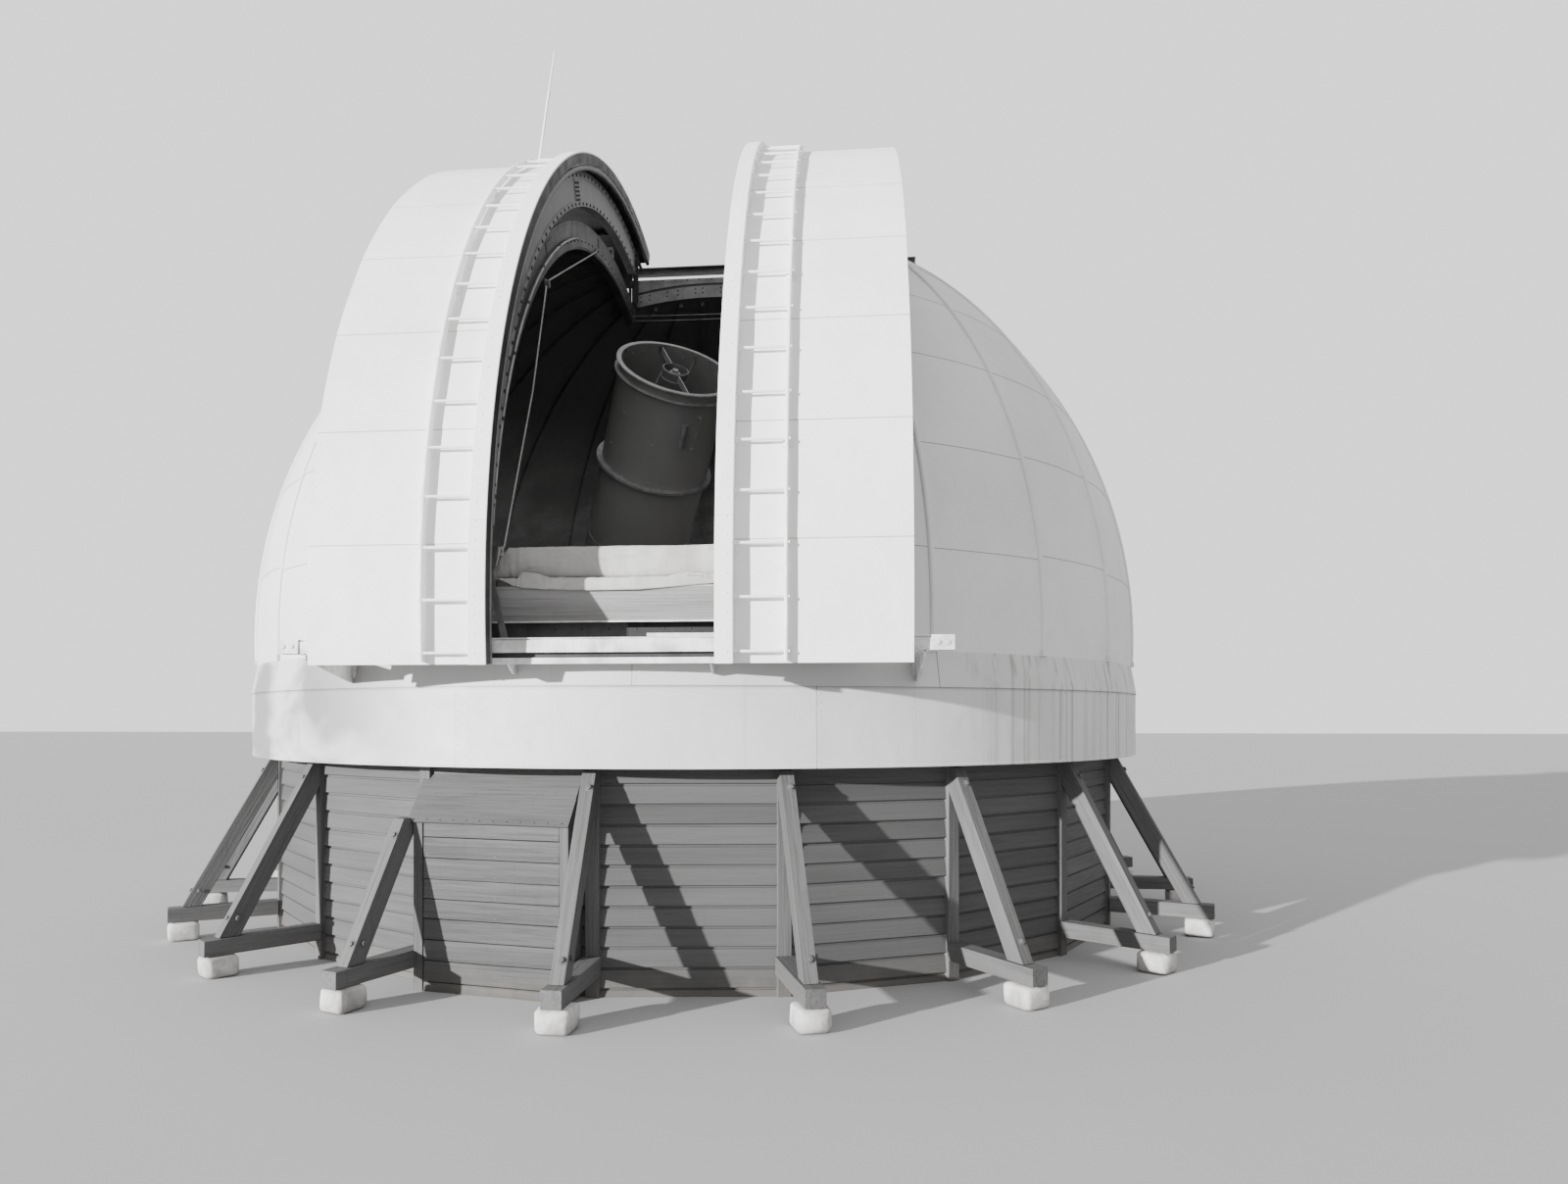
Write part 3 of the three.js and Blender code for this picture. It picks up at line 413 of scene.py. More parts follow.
def clothFinish(name, tone):
    # canvas: a fine weave from the sheet's own threads, creases with painted shade along them, and water
    # marks
    f = Finish(name)
    threads = f.stretched(f.grain, (900.0, 900.0, 1.0))
    weave = f.noise(threads, 1.0, 1.0)
    stain = f.noise(f.place, 3.2, 5.0, 0.65, 0.6)
    creaseShade = f.streaks(f.place, (3.0, 3.0, 9.0), 1.0, 4.0, 0.6, 0.8)
    f.base = f.colour(f.between(stain, 0.32, 0.72), grey(tone * 0.78, 0.03), grey(tone * 1.06, 0.02))
    # painted shade along the creases
    f.lay(f.between(creaseShade, 0.56, 0.7) * 0.35, tone * 0.6, 0.03)
    # painted shadow: the seam mark darkens the canvas's gaps and edges
    f.lay(f.seam, tone * 0.1, 0.03)
    return f.finish(f.between(stain, 0.3, 0.7, 0.86, 0.95), creaseShade + weave * 0.03, 0.006)


def stoneFinish(name, tone):
    # rough stone or render: large patches, grit and pits
    f = Finish(name)
    patch = f.noise(f.place, 4.0, 6.0, 0.65, 0.4)
    grit = f.noise(f.place, 70.0, 4.0, 0.7)
    foot = f.between(f.axis(f.place, "Z") + patch * 0.12, 0.18, 0.04)
    f.base = f.colour(f.between(patch, 0.3, 0.72), grey(tone * 0.62, 0.03), grey(tone * 1.25, 0.02))
    f.lay(f.between(grit, 0.56, 0.72) * 0.5, tone * 0.45, 0.05)
    f.lay(foot * 0.5, 0.12, 0.12)
    return f.finish(f.between(patch, 0.3, 0.7, 0.82, 0.96), patch + grit * 0.25, 0.008)


finishes = {
    "shutter": sheetPaint("shutter_paint", 0.86, 0.16, 0.55),
    "dome": sheetPaint("dome_paint", 0.7, 0.22, 0.44),
    "drum": sheetPaint("drum_paint", 0.58, 0.35, 0.34, 0.8),
    "board": timberPaint("clapboard_paint", 0.069, 0.15),
    "brace": timberPaint("brace_timber", 0.095, 0.55, 0.78),
    "box": timberPaint("box_boards", 0.07, 0.45, 0.78),
    "screen": timberPaint("screen_board_paint", 0.34, 0.5),
    "lining": timberPaint("dome_lining", 0.55, 0.4, 0.8, 0.12),
    "arch": steelPaint("arch_paint", 0.075),
    "steel": steelPaint("plate_paint", 0.2),
    # painted shade: a near-black plate for shadowed faces, recesses, rivet heads and strips
    "dark": steelPaint("shaded_plate", 0.02),
    "sill": steelPaint("sill_paint", 0.1),
    # painted shade: the framing under the shutter sheets kept near black
    "shade": steelPaint("shutter_rib_painted_shade", 0.03),
    "rail": steelPaint("rail_paint", 0.68, 0.12),
    "rail back": steelPaint("back_rail_paint", 0.12),
    "tube": steelPaint("tube_paint", 0.22, 0.05, 0.0, 0.42, 0.25),
    "ring": steelPaint("ring_paint", 0.4, 0.15, 0.0, 0.4),
    "iron": steelPaint("iron_paint", 0.16, 0.2, 0.2),
    "bright": steelPaint("bare_pipe", 0.4, 0.05, 0.3, 0.45),
    "cloth": clothFinish("wind_canvas", 0.47),
    "rope": clothFinish("rope_fibre", 0.5),
    "stone": stoneFinish("bearing_stone", 0.5),
    "pier": stoneFinish("pier_render", 0.42),
    "backing": steelPaint("wall_backing", 0.2),
}
print("finishes made")


# Camera at the photograph's viewing angle

view = {"place": (1.569, -11.534, 2.0), "turn": 0.0954, "lens": 23.47, "shift": (0.0265, 0.0798)}


def makeCamera():
    camera = bpy.data.objects.new("camera", bpy.data.cameras.new("camera"))
    camera.location = view["place"]
    camera.rotation_euler = (np.pi / 2, 0, view["turn"])
    camera.data.lens = view["lens"]
    camera.data.sensor_width = 36
    camera.data.shift_x, camera.data.shift_y = view["shift"]
    camera.data.clip_end = 400
    bpy.context.scene.collection.objects.link(camera)
    bpy.context.scene.camera = camera


studio = {"sunAzimuth": -47, "sunHeight": 10.5, "sunPower": 12.5, "sunAngle": 1.0, "sky": 1.02, "seen": 1.5,
          "floor": 0.4, "reach": 120}


def makeStudio():
    world = bpy.data.worlds.new("studio")
    world.use_nodes = True
    bpy.context.scene.world = world
    tree, backdrop = world.node_tree, world.node_tree.nodes["Background"]
    direct = addNode(tree, "ShaderNodeLightPath")
    shown = addNode(tree, "ShaderNodeMix", {"data_type": "RGBA"},
                    {0: direct, 6: grey(studio["sky"]), 7: grey(studio["seen"])}, 2)
    tree.links.new(shown.socket, backdrop.inputs["Color"])
    sun = bpy.data.objects.new("sun", bpy.data.lights.new("sun", "SUN"))
    sun.data.energy = studio["sunPower"]
    sun.data.angle = np.radians(studio["sunAngle"])
    sun.rotation_euler = (np.radians(90 - studio["sunHeight"]), 0, np.radians(studio["sunAzimuth"]))
    bpy.context.scene.collection.objects.link(sun)
    reach = studio["reach"]
    corners = np.array([[-reach, -reach, 0], [reach, -reach, 0], [reach, reach, 0], [-reach, reach, 0]],
                       float)
    mesh = bpy.data.meshes.new("floor")
    mesh.from_pydata(corners.tolist(), [], [(0, 1, 2, 3)])
    f = Finish("floor")
    soft = f.noise(f.place, 0.4, 3.0)
    f.base = f.colour(soft, grey(studio["floor"] * 0.97), grey(studio["floor"] * 1.03))
    mesh.materials.append(f.finish(f.between(soft, 0, 1, 0.85, 0.9), soft, 0.001))
    floor = bpy.data.objects.new("floor", mesh)
    bpy.context.scene.collection.objects.link(floor)


# Timber wall: clapboards between corner posts

wall = {"bays": 20, "turn": -2.5, "face": 4.3, "top": 1.98, "pitch": 0.146, "firstEdge": 0.067, "butt": 0.024,
        "tip": 0.011, "cove": 0.021, "recess": 0.002, "postHalf": 0.051, "postInner": 4.28, "postFace": 4.397,
        "stations": 9, "skin": 0.0006, "rows": 14, "perSection": 5, "gap": 0.0005, "chamfer": 0.003,
        "uneven": 0.002}
bay = 360 / wall["bays"]


def makeClapboards(section):
    # each board is a section (out, up) carried along its bay, with a slight bow: d + b sin(pi s + p)
    k = wall
    shape = Shape(f"clapboards_{section + 1}")
    half = np.radians(bay / 2)
    reach = k["face"] * np.tan(half) - k["postHalf"] / np.cos(half) + 0.006
    s = np.linspace(0, 1, k["stations"])
    for i in range(k["perSection"] * section, k["perSection"] * (section + 1)):
        middle = k["turn"] + (i + 0.5) * bay
        out, along = polar(middle, 1.0, 0.0), polar(middle + 90, 1.0, 0.0)
        for row in range(-1, k["rows"]):
            low = 0.0 if row < 0 else k["firstEdge"] + row * k["pitch"] + draw.uniform(-k["uneven"],
                                                                                       k["uneven"])
            high = k["firstEdge"] + (row + 1) * k["pitch"] - k["gap"]
            butt = k["butt"] + draw.uniform(-k["uneven"], k["chamfer"])
            cove = high - k["cove"]
            board = np.array([(0, low), (butt - k["chamfer"], low), (butt, low + 0.004), (k["tip"], cove),
                              (k["recess"], cove + k["chamfer"]), (k["recess"], high), (0, high)])
            board[:, 1] = np.minimum(board[:, 1], k["top"] - np.linspace(0.004, 0, 7))
            bow = np.sin(np.pi * s + draw.uniform(0, 6))[:, None] * draw.uniform(0, 0.0016)
            depth = k["face"] + k["skin"] + board[None, :, 0] + bow * (board[None, :, 0] > 0.005)
            rise = board[None, :, 1] + bow * 0.6
            place = along * ((2 * s - 1) * reach)[:, None]
            grid = out * depth[..., None] + place[:, None] + upward * np.maximum(rise, 0)[..., None]
            shape.tube(grid, axis=along)
    return shape.make("base", ["board"], slot="wall_paint", smooth=25)


def makePosts():
    shape = Shape("corner_posts")
    middle = (wall["postInner"] + wall["postFace"]) / 2
    for corner in range(wall["bays"]):
        azimuth = wall["turn"] + corner * bay
        out = polar(azimuth, 1.0, 0.0)
        foot = polar(azimuth, middle, 0.0)
        shape.beam(foot, foot + [0, 0, wall["top"]], out, 2 * wall["postHalf"],
                   wall["postFace"] - wall["postInner"])
    return shape.make("base", ["brace"], slot="wall_paint", bevel=0.004)


# Buttresses: raking brace, sole beam and bearing stone

buttress = {"inner": 4.3985, "top": 1.622, "foot": 5.185, "depth": 0.135, "width": 0.1, "soleTop": 0.295,
            "soleDepth": 0.13, "soleEnd": 5.3, "soleWidth": 0.14, "stoneWidth": 0.235, "stoneLength": 0.26,
            "bolt": 0.021, "short": 19, "cutOut": 4.56, "cutTop": 1.262, "under": 1.35, "over": 0.45,
            "toe": 1.15, "blockPower": 0.34}


def makeButtress(corner):
    azimuth = wall["turn"] + corner * bay
    out, up, along = polar(azimuth, 1.0, 0.0), upward, polar(azimuth + 90, 1.0, 0.0)
    b = buttress
    shape = Shape(f"brace_{corner + 1:02d}")
    level = b["soleTop"] + 0.001
    brace = [(b["inner"], b["top"]), (b["inner"], b["top"] - b["under"] * b["depth"]),
             (b["foot"] - b["toe"] * b["depth"], level), (b["foot"], level),
             (b["inner"] + b["over"] * b["depth"], b["top"])]
    lean = (b["foot"] - b["inner"] - b["over"] * b["depth"]) * out - (b["top"] - level) * up
    fall = lean[2] / (lean @ out)
    if corner == b["short"]:
        brace[0] = (b["cutOut"], b["cutTop"])
        brace[1] = (b["cutOut"], b["top"] - b["under"] * b["depth"] + fall * (b["cutOut"] - b["inner"]))
        brace[4] = (brace[4][0] + (b["cutTop"] - b["top"]) / fall, b["cutTop"])
    shape.prism(brace, (0, 0, 0), out, up, b["width"], axis=lean)
    sole = [(b["inner"], b["soleTop"] - b["soleDepth"]),
            (b["soleEnd"], b["soleTop"] - b["soleDepth"] + 0.004),
            (b["soleEnd"] - 0.002, b["soleTop"] - 0.003), (b["inner"], b["soleTop"])]
    shape.prism(sole, (0, 0, 0), out, up, b["soleWidth"], axis=out)
    outer = unit(np.cross(along, unit(lean)))
    outer = outer if outer @ out > 0 else -outer
    upper = out * brace[4][0] + up * brace[4][1] + unit(lean) * 0.13 + along * 0.018
    lower = out * b["foot"] + up * level - unit(lean) * 0.16 + along * 0.012
    shape.heads([upper, lower], outer, b["bolt"] * 1.5, 0.005, 12, 0.96)
    shape.heads([upper + outer * 0.004, lower + outer * 0.004], outer, b["bolt"], 0.017, 6, 0.92)
    shape.heads([lower + along * 0.05 - out * 0.06], along, b["bolt"], 0.016, 6, 0.9)
    shape.make("base", ["brace"], [f"buttress_{corner + 1:02d}"], "brace_timber", 0.004)
    makeStone(corner, azimuth)


def makeStone(corner, azimuth):
    # a block with rounded faces: each direction's sine and cosine is taken to a small power, then roughened
    b = buttress
    u, v = np.meshgrid(np.linspace(0, 360, 25)[:-1], np.linspace(-90, 90, 15), indexing="xy")
    c, s, cv, sv = np.cos(np.radians(u)), np.sin(np.radians(u)), np.cos(np.radians(v)), np.sin(np.radians(v))
    swell = [np.sign(w) * np.abs(w) ** b["blockPower"] for w in (c, s, cv, sv)]
    rough = 1 + 0.035 * np.sin(3 * np.radians(u) + draw.uniform(0, 6)) * cv
    rough += 0.03 * np.sin(5 * np.radians(u) + 4 * np.radians(v) + draw.uniform(0, 6)) * cv
    top = b["soleTop"] - b["soleDepth"]
    out, along = polar(azimuth, 1.0, 0.0), polar(azimuth + 90, 1.0, 0.0)
    a = b["stoneLength"] / 2 * 0.96 * swell[0] * swell[2] * rough
    w = b["stoneWidth"] / 2 * draw.uniform(0.92, 1.06) * swell[1] * swell[2] * rough
    h = top / 2 * (1 + swell[3])
    middle = b["soleEnd"] - b["stoneLength"] / 2
    grid = (middle + a)[..., None] * out + w[..., None] * along + h[..., None] * upward
    shape = Shape(f"bearing_stone_{corner + 1:02d}")
    rows, columns = grid.shape[:2]
    faces = [gridFaces(rows, columns, False, True)]
    shape.add(grid, faces + [np.arange(columns)[None, ::-1], np.arange(columns)[None] + (rows - 1) * columns])
    shape.make("base", ["stone"], slot="brace_timber", smooth=50)


makeCamera()
makeStudio()
for section in range(wall["bays"] // wall["perSection"]):
    makeClapboards(section)
makePosts()
for corner in range(wall["bays"]):
    makeButtress(corner)
print("wall and buttresses made")

# Lean-to: a low boarded box between two posts with a steep lid

lean = {"azimuth": -11.5, "half": 0.6, "left": -0.65, "lidLeft": -0.694, "wall": 4.3006, "front": 4.535,
        "top": 1.238, "ridge": 1.612, "eaves": 1.28, "run": 0.235,
        "edges": (0.0, 0.07, 0.225, 0.377, 0.53, 0.675, 0.82, 0.973, 1.125, 1.238), "thick": 0.022,
        "overhang": 0.022, "leftPost": 0.075, "rightBoard": 0.068, "gap": 0.004, "stations": 7}
lean["rise"] = (lean["ridge"] - lean["eaves"]) / lean["run"]


def makeLeanTo():
    k = lean
    out, along, up = polar(k["azimuth"], 1.0, 0.0), polar(k["azimuth"] + 90, 1.0, 0.0), upward

    def at(x, depth, z):
        return along * x + out * depth + up * z

    shape = Shape("leanto_boards")
    left, right = k["left"] + k["leftPost"] + 0.008, k["half"] - k["rightBoard"] - 0.004
    face = k["front"] - 0.003
    for low, high in pairwise(k["edges"]):
        drop = draw.uniform(-0.0015, 0.0015)
        lowEdge = low + (k["gap"] + drop if low else 0)
        board = [(face - k["thick"], lowEdge), (face - 0.002, lowEdge), (face, lowEdge + 0.004),
                 (face - 0.003, high - 0.002), (face - k["thick"], high)]
        section = np.array(board)
        steps = np.linspace(left, right, k["stations"])
        bow = np.sin(np.linspace(0, 3, k["stations"]) + draw.uniform(0, 6)) * 0.001
        grid = at(steps[:, None, None], (section[:, 0] + bow[:, None])[..., None], section[None, :, 1, None])
        shape.tube(grid, axis=along)
    post = k["left"] + k["leftPost"] / 2
    shape.beam(at(post, face - 0.03, 0), at(post, face - 0.03, k["top"]), out, k["leftPost"], 0.066)
    edge = k["half"] - k["rightBoard"] / 2
    shape.beam(at(edge, face - 0.012, 0), at(edge, face - 0.012, k["top"]), out, k["rightBoard"], 0.03)
    for x in (k["left"] + 0.013, k["half"] - 0.013):
        for row in range(2):
            near = k["front"] - 0.028 - 0.103 * row
            far = near - 0.1
            height = [k["ridge"] - 0.042 - k["rise"] * (d - k["wall"]) for d in (near, far)]
            shape.prism([(far, 0), (near, 0), (near, height[0]), (far, height[1])], along * x, out, up, 0.024,
                        axis=up)
    nails = [at(x, face, z + 0.03) for z in k["edges"][1:-1] for x in (left + 0.03, right - 0.03, 0.02)]
    shape.heads(nails, out, 0.005, 0.001, 6, slot=1)
    shape.make("base", ["box", "iron"], ["leanto_box"], "wall_paint", 0.0018)

    lid = Shape("leanto_lid")
    reach = k["front"] + k["overhang"] - k["wall"] - 0.001
    slope = unit(out - up * k["rise"])
    length = reach * np.hypot(1, k["rise"])
    normal = unit(np.cross(along, slope))
    normal = normal if normal[2] > 0 else -normal
    origin = at(0, k["wall"] + 0.001, k["ridge"] - 0.012)
    first, last = along * k["lidLeft"], along * (k["half"] + 0.006)
    for start, end, lift in ((0.0, 0.5, 0.002), (0.495, 1.0, -0.004)):
        middle = origin + normal * (lift - 0.008)
        centre = middle + slope * length * (start + end) / 2
        lid.beam(centre + first, centre + last, normal, length * (end - start), 0.015)
    heads = [origin + normal * 0.002 + slope * length * row + along * x for row in (0.44, 0.03, 0.95)
             for x in np.linspace(k["lidLeft"] + 0.05, k["half"] - 0.05, 12)]
    lid.heads(heads, normal, 0.006, 0.0015, 6)
    lid.make("base", ["box", "iron"], ["leanto_roof"], "wall_paint", 0.0015)


# Wall plate and rail, and the base ring with its wheels

ring = {"inner": 4.21, "outer": 4.394, "plateTop": 2.04, "railTop": 2.07, "rail": 4.35, "low": 2.2,
        "high": 2.29, "ringInner": 4.23, "ringOuter": 4.5877, "wheel": 0.062, "wheels": 12,
        "webs": (4.3, 4.44, 4.5177), "rivetRows": (4.26, 4.36, 4.5), "wheelIn": 0.046}


def bar(x0, x1, low, high):
    return [(x0, low), (x1, low), (x1, high), (x0, high)]


def spin(shape, section, azimuths, closed=True, **look):
    # a closed section (r, z) turned about the vertical axis
    section = np.asarray(section, float)
    grid = polar(np.asarray(azimuths)[:, None], section[None, :, 0], section[None, :, 1])
    shape.tube(grid, closed, **look)


def makeTrack():
    shape = Shape("wall_plate")
    for k in range(wall["bays"]):
        turns = wall["turn"] + (k + np.linspace(0.005, 0.995, 7)) * bay
        for low, high in ((wall["top"] + 0.0005, wall["top"] + 0.029),
                          (wall["top"] + 0.031, ring["plateTop"])):
            spin(shape, bar(ring["inner"], ring["outer"], low, high), turns, False,
                 axis=polar(turns[3] + 90, 1.0, 0.0))
    head, foot, web = 0.02, 0.045, 0.006
    rail = [(-foot, 0), (foot, 0), (foot, 0.004), (web, 0.008), (web, 0.018), (head, 0.021), (head, 0.03),
            (-head, 0.03), (-head, 0.021), (-web, 0.018), (-web, 0.008), (-foot, 0.004)]
    middle = ring["rail"] - ring["wheel"] * 0.75
    spin(shape, [(middle + r, ring["plateTop"] + z) for r, z in rail], np.arange(0, 360, 3), slot=1)
    shape.make("base", ["brace", "iron"], ["track_ring"], "wall_paint", 0.002)


def makeBaseRing():
    shape = Shape("turning_ring")
    low, high, inner, outer, plate = ring["low"], ring["high"], ring["ringInner"], ring["ringOuter"], 0.012
    turns = np.arange(0, 360, 3)
    spin(shape, bar(inner, outer, low, low + plate), turns)
    spin(shape, bar(inner, outer - 0.05, high - plate, high), turns)
    for radius in ring["webs"]:
        spin(shape, bar(radius, radius + plate, low + plate, high - plate), turns)
    places = np.arange(0, 360, 2.5)
    for radius in ring["rivetRows"]:
        shape.heads(polar(places, radius, low), (0, 0, -1.0), 0.011, 0.007)
    wheel, centre = ring["wheel"], ring["railTop"] + ring["wheel"] + 0.0006
    middle = ring["rail"] - ring["wheelIn"]
    for k in range(ring["wheels"]):
        azimuth = (k + 0.5) * 360 / ring["wheels"]
        out, side = polar(azimuth, 1.0, 0.0), polar(azimuth + 90, 1.0, 0.0)
        profile = [(-0.03, 0.02), (-0.026, wheel * 0.8), (-0.02, wheel), (0.02, wheel), (0.026, wheel * 0.8),
                   (0.03, 0.02)]
        turn = roundPath(np.arange(24) * 15)
        rims = [out * (middle + a) + np.array([0, 0, centre])
                + r * (turn[:, :1] * side + turn[:, 1:] * (0, 0, 1.0)) for a, r in profile]
        shape.tube(np.stack(rims), slot=1)
        for offset in (-0.04, 0.04):
            cheek = out * (middle + offset)
            shape.beam(cheek + [0, 0, centre - 0.024], cheek + [0, 0, low], out, 2 * wheel, 0.008)
            shape.heads([cheek + [0, 0, centre]], out * np.sign(offset), 0.018, 0.012, 8, 0.9)
    shape.make("dome", ["steel", "iron"], ["base_ring"], "steel_paint", smooth=28)


# Sheet drum with its ledge, in lapped sheets

drum = {"radius": 4.608, "bottom": 1.641, "top": 2.222, "foot": 2.48, "ledge": 4.5657, "sheet": 0.02,
        "lap": 0.22, "lift": 0.003, "line": 0.08, "step": 1.5,
        "seams": (-42.1, -31.3, -14.5, 18.0, 46.1, 60.5, 83.0, 105, 130, 157, 180, 205, 235, 260, 287),
        "ledgeSeams": (-54, -26, 2, 30, 58, 86, 114, 142, 170, 198, 226, 254, 282)}


def lapped(start, end, lap, line, step):
    # places across one sheet: a raised start that covers its neighbour, and dirt where the next begins
    count = max(3, int(round((end - start) / step)))
    places = np.concatenate([[start - lap, start], np.linspace(start, end, count + 1)[1:-1],
                             [end - lap - line, end - lap - line * 0.3, end]])
    lift = np.clip(1 - (places - start + lap) / (4 * lap), 0, 1)
    darkening = (places >= end - lap - line * 0.4).astype(float)
    return places, lift, darkening


def makeDrum():
    shape = Shape("drum_sheets")
    radius, bottom, top, foot = drum["radius"], drum["bottom"], drum["top"], drum["foot"]
    inner = radius - drum["sheet"]
    skirt = np.array([(radius + 0.001, bottom), (radius + 0.004, bottom + 0.004),
                      (radius + 0.004, bottom + 0.014), (radius, bottom + 0.02),
                      *[(radius, z) for z in np.linspace(bottom + 0.1, top - 0.03, 6)], (radius, top - 0.006),
                      (radius - 0.001, top - 0.001)])
    dirtUp = np.array([0.0] * 10 + [0.5, 1.0])
    ledge = np.array([(radius + 0.006, top - 0.003), (radius + 0.007, top + 0.001),
                      *[(radius + 0.005 + (drum["ledge"] - radius - 0.002) * t,
                         top + 0.006 + (foot - top - 0.006) * t) for t in np.linspace(0, 1, 6)]])
    for seams, profile, dirtRows in ((drum["seams"], skirt, dirtUp),
                                     (drum["ledgeSeams"], ledge, np.zeros(8))):
        for start, end in zip(seams, (*seams[1:], seams[0] + 360)):
            places, lift, darkening = lapped(start, end, drum["lap"], drum["line"], drum["step"])
            swell = 0.0015 * np.sin(places[None, :] * 0.35 + profile[:, 1:] * 5) * np.sin(profile[:, 1:] * 4)
            out = profile[:, :1] + drum["lift"] * lift[None, :] + swell
            outer = polar(places[None, :], out, profile[:, 1:])
            back = polar(places[None, :], out - 0.003, profile[:, 1:])
            shape.sheet(outer, back, edge=np.maximum(darkening[None, :], dirtRows[:, None]))
            heights = np.arange(profile[1, 1] + 0.04, profile[-1, 1] - 0.02, 0.06)
            level = np.interp(heights, profile[:, 1], profile[:, 0]) + drum["lift"]
            shape.heads(polar(start + 0.05, level, heights), polar(start, 1.0, 0.0), 0.005, 0.003)
    inside = [(inner, bottom + 0.001), (radius - 0.006, bottom + 0.001), (radius - 0.006, top),
              (drum["ledge"] - 0.008, foot), (drum["ledge"] - drum["sheet"], foot), (inner, top)]
    spin(shape, inside, np.arange(0, 360, 2.5), slot=1)
    shape.make("dome", ["drum", "lining"], ["drum_skirt"], "drum_paint", smooth=28)


# Dome: lapped sheets between battens, open along the slit, with a boarded lining

dome = {"radius": 4.57, "centre": 2.72, "foot": 2.48, "slit": 1.0, "back": 0.93, "firstRib": 15.0,
        "gore": 165 / 11.5, "laps": (7.0, 17.5, 28.0, 38.2, 48.5, 58.8, 69.0, 79.0), "lap": 0.2,
        "lift": 0.003, "line": 0.11, "rib": 0.025, "ribHeight": 0.022, "lining": 0.04, "sheet": 0.0105}
dome["start"] = np.degrees(np.arcsin((dome["foot"] - dome["centre"]) / dome["radius"]))


def slitEdge(azimuth):
    # elevation where the slit cuts the shell: its plan distance is half the slit over |sin a|,
    # or its back over |cos a|
    turn = np.radians(np.asarray(azimuth, float))
    reach = dome["slit"] / np.maximum(np.abs(np.sin(turn)), 1e-6)
    behind = dome["back"] / np.maximum(np.abs(np.cos(turn)), 1e-6)
    reach = np.where(np.cos(turn) < 0, np.minimum(reach, behind), reach)
    return np.degrees(np.arccos(np.clip(reach / dome["radius"], 0, 1)))


def slitStart(elevation):
    # azimuth where the slit's edge crosses an elevation
    return np.degrees(np.arcsin(dome["slit"] / (dome["radius"] * np.cos(np.radians(elevation)))))


def makeShell(name, replaced, gores):
    shape = Shape(name)
    radius, lap, line = dome["radius"], dome["lap"], dome["line"]
    across = np.array([0, 0.12, 0.25, 0.38, 0.5, 0.62, 0.75, 0.88, 1.0])
    for side, first, last in gores:
        shift = draw.uniform(-0.25, 0.25, len(dome["laps"]))
        courses = np.concatenate([[dome["start"]], np.array(dome["laps"]) + shift, [90]])
        for low, high in pairwise(courses):
            begin = first
            if first < 90:
                if slitStart(low) > last - 0.2:
                    continue
                begin = max(first, slitStart(low))
            places = side * (begin + (last - begin) * across)
            if low >= slitEdge(places).max() - 0.3:
                continue
            lowest = low == dome["start"]
            bottom, second, third = (low, low + 0.6, low + 2) if lowest else (low - lap, low, low + 1.5)
            rows = np.array([bottom, second, *np.linspace(third, high - 1.5, 4), high - lap - line,
                             high - lap * 0.95, high])
            darkening = np.array([0.0] * 7 + [1.0, 1.0])
            top = np.minimum(high, slitEdge(places))
            elevation = bottom + (rows[:, None] - bottom) * (top[None, :] - bottom) / (high - bottom)
            level = radius + dome["lift"] * (1 - (rows[:, None] - bottom) / (high - bottom)) + 0 * elevation
            level = level + 0.0012 * np.sin(elevation * 0.9 + places * 0.5) * np.sin(np.pi * across)[None, :]
            outer = onSphere(places[None, :], elevation, level)
            inner = onSphere(places[None, :], elevation, level - 0.004)
            shape.sheet(outer, inner, edge=darkening[:, None] + 0 * elevation)
        if last < 180:
            makeRib(shape, side * last)
        lineGore(shape, side, first, last)
    return shape.make("dome", ["dome", "lining"], replaced, "dome_paint", smooth=28)


def makeRib(shape, azimuth):
    # a half-round batten up the joint between two gores
    top = slitEdge(azimuth) - 0.5
    elevation = np.linspace(dome["start"], top, 40)[:, None]
    half = np.radians(np.linspace(0, 180, 7))
    out = np.concatenate([dome["ribHeight"] * np.sin(half), [-0.003, -0.003]])
    across = np.concatenate([dome["rib"] * np.cos(half), [-dome["rib"], dome["rib"]]])
    along = polar(azimuth + 90, 1.0, 0.0)
    grid = onSphere(azimuth, elevation, dome["radius"] + out[None, :]) + across[None, :, None] * along
    shape.tube(grid)
    foot = onSphere(azimuth, dome["start"] + 0.35, dome["radius"])
    shape.beam(foot - [0, 0, 0.028], foot + [0, 0, 0.02], polar(azimuth, 1.0, 0.0), 0.062, 0.06)


def lineGore(shape, side, first, last):
    begin = max(first, slitStart(dome["start"]) + 0.05)
    places = side * np.linspace(begin, last, 8)
    share = np.linspace(0, 1, 20)[:, None]
    inner, outer = dome["radius"] - dome["lining"], dome["radius"] - dome["sheet"]
    elevation = dome["start"] + share * (slitEdge(places)[None, :] - dome["start"])
    shape.sheet(onSphere(places[None, :], elevation, outer), onSphere(places[None, :], elevation, inner),
                slot=1)
    if last < 180:
        top = slitEdge(side * last) - 1.0
        path = np.linspace(dome["start"] + 0.6, top, 30)[:, None]
        across = np.array([-0.02, 0.02, 0.02, -0.02])
        depth = np.array([inner - 0.055, inner - 0.055, inner + 0.004, inner + 0.004])
        along = polar(side * last + 90, 1.0, 0.0)
        ends = (path > top - 0.5) + 0 * depth
        shape.tube(onSphere(side * last, path, depth[None, :]) + across[None, :, None] * along, slot=1,
                   edge=ends)


def makeDome():
    joints = [slitStart(dome["start"]), *[dome["firstRib"] + dome["gore"] * k for k in range(12)]]
    bands = list(pairwise(joints))
    front = [b for b in bands if sum(b) / 2 < 90]
    back = [b for b in bands if sum(b) / 2 >= 90]
    for side, name in bothSides:
        makeShell(f"dome_front_{name}", [f"shell_front_{name}"], [(side, *b) for b in front])
        last = [(side, joints[-1], 180.0)]
        makeShell(f"dome_back_{name}", [f"shell_back_{name}"], [(side, *b) for b in back] + last)


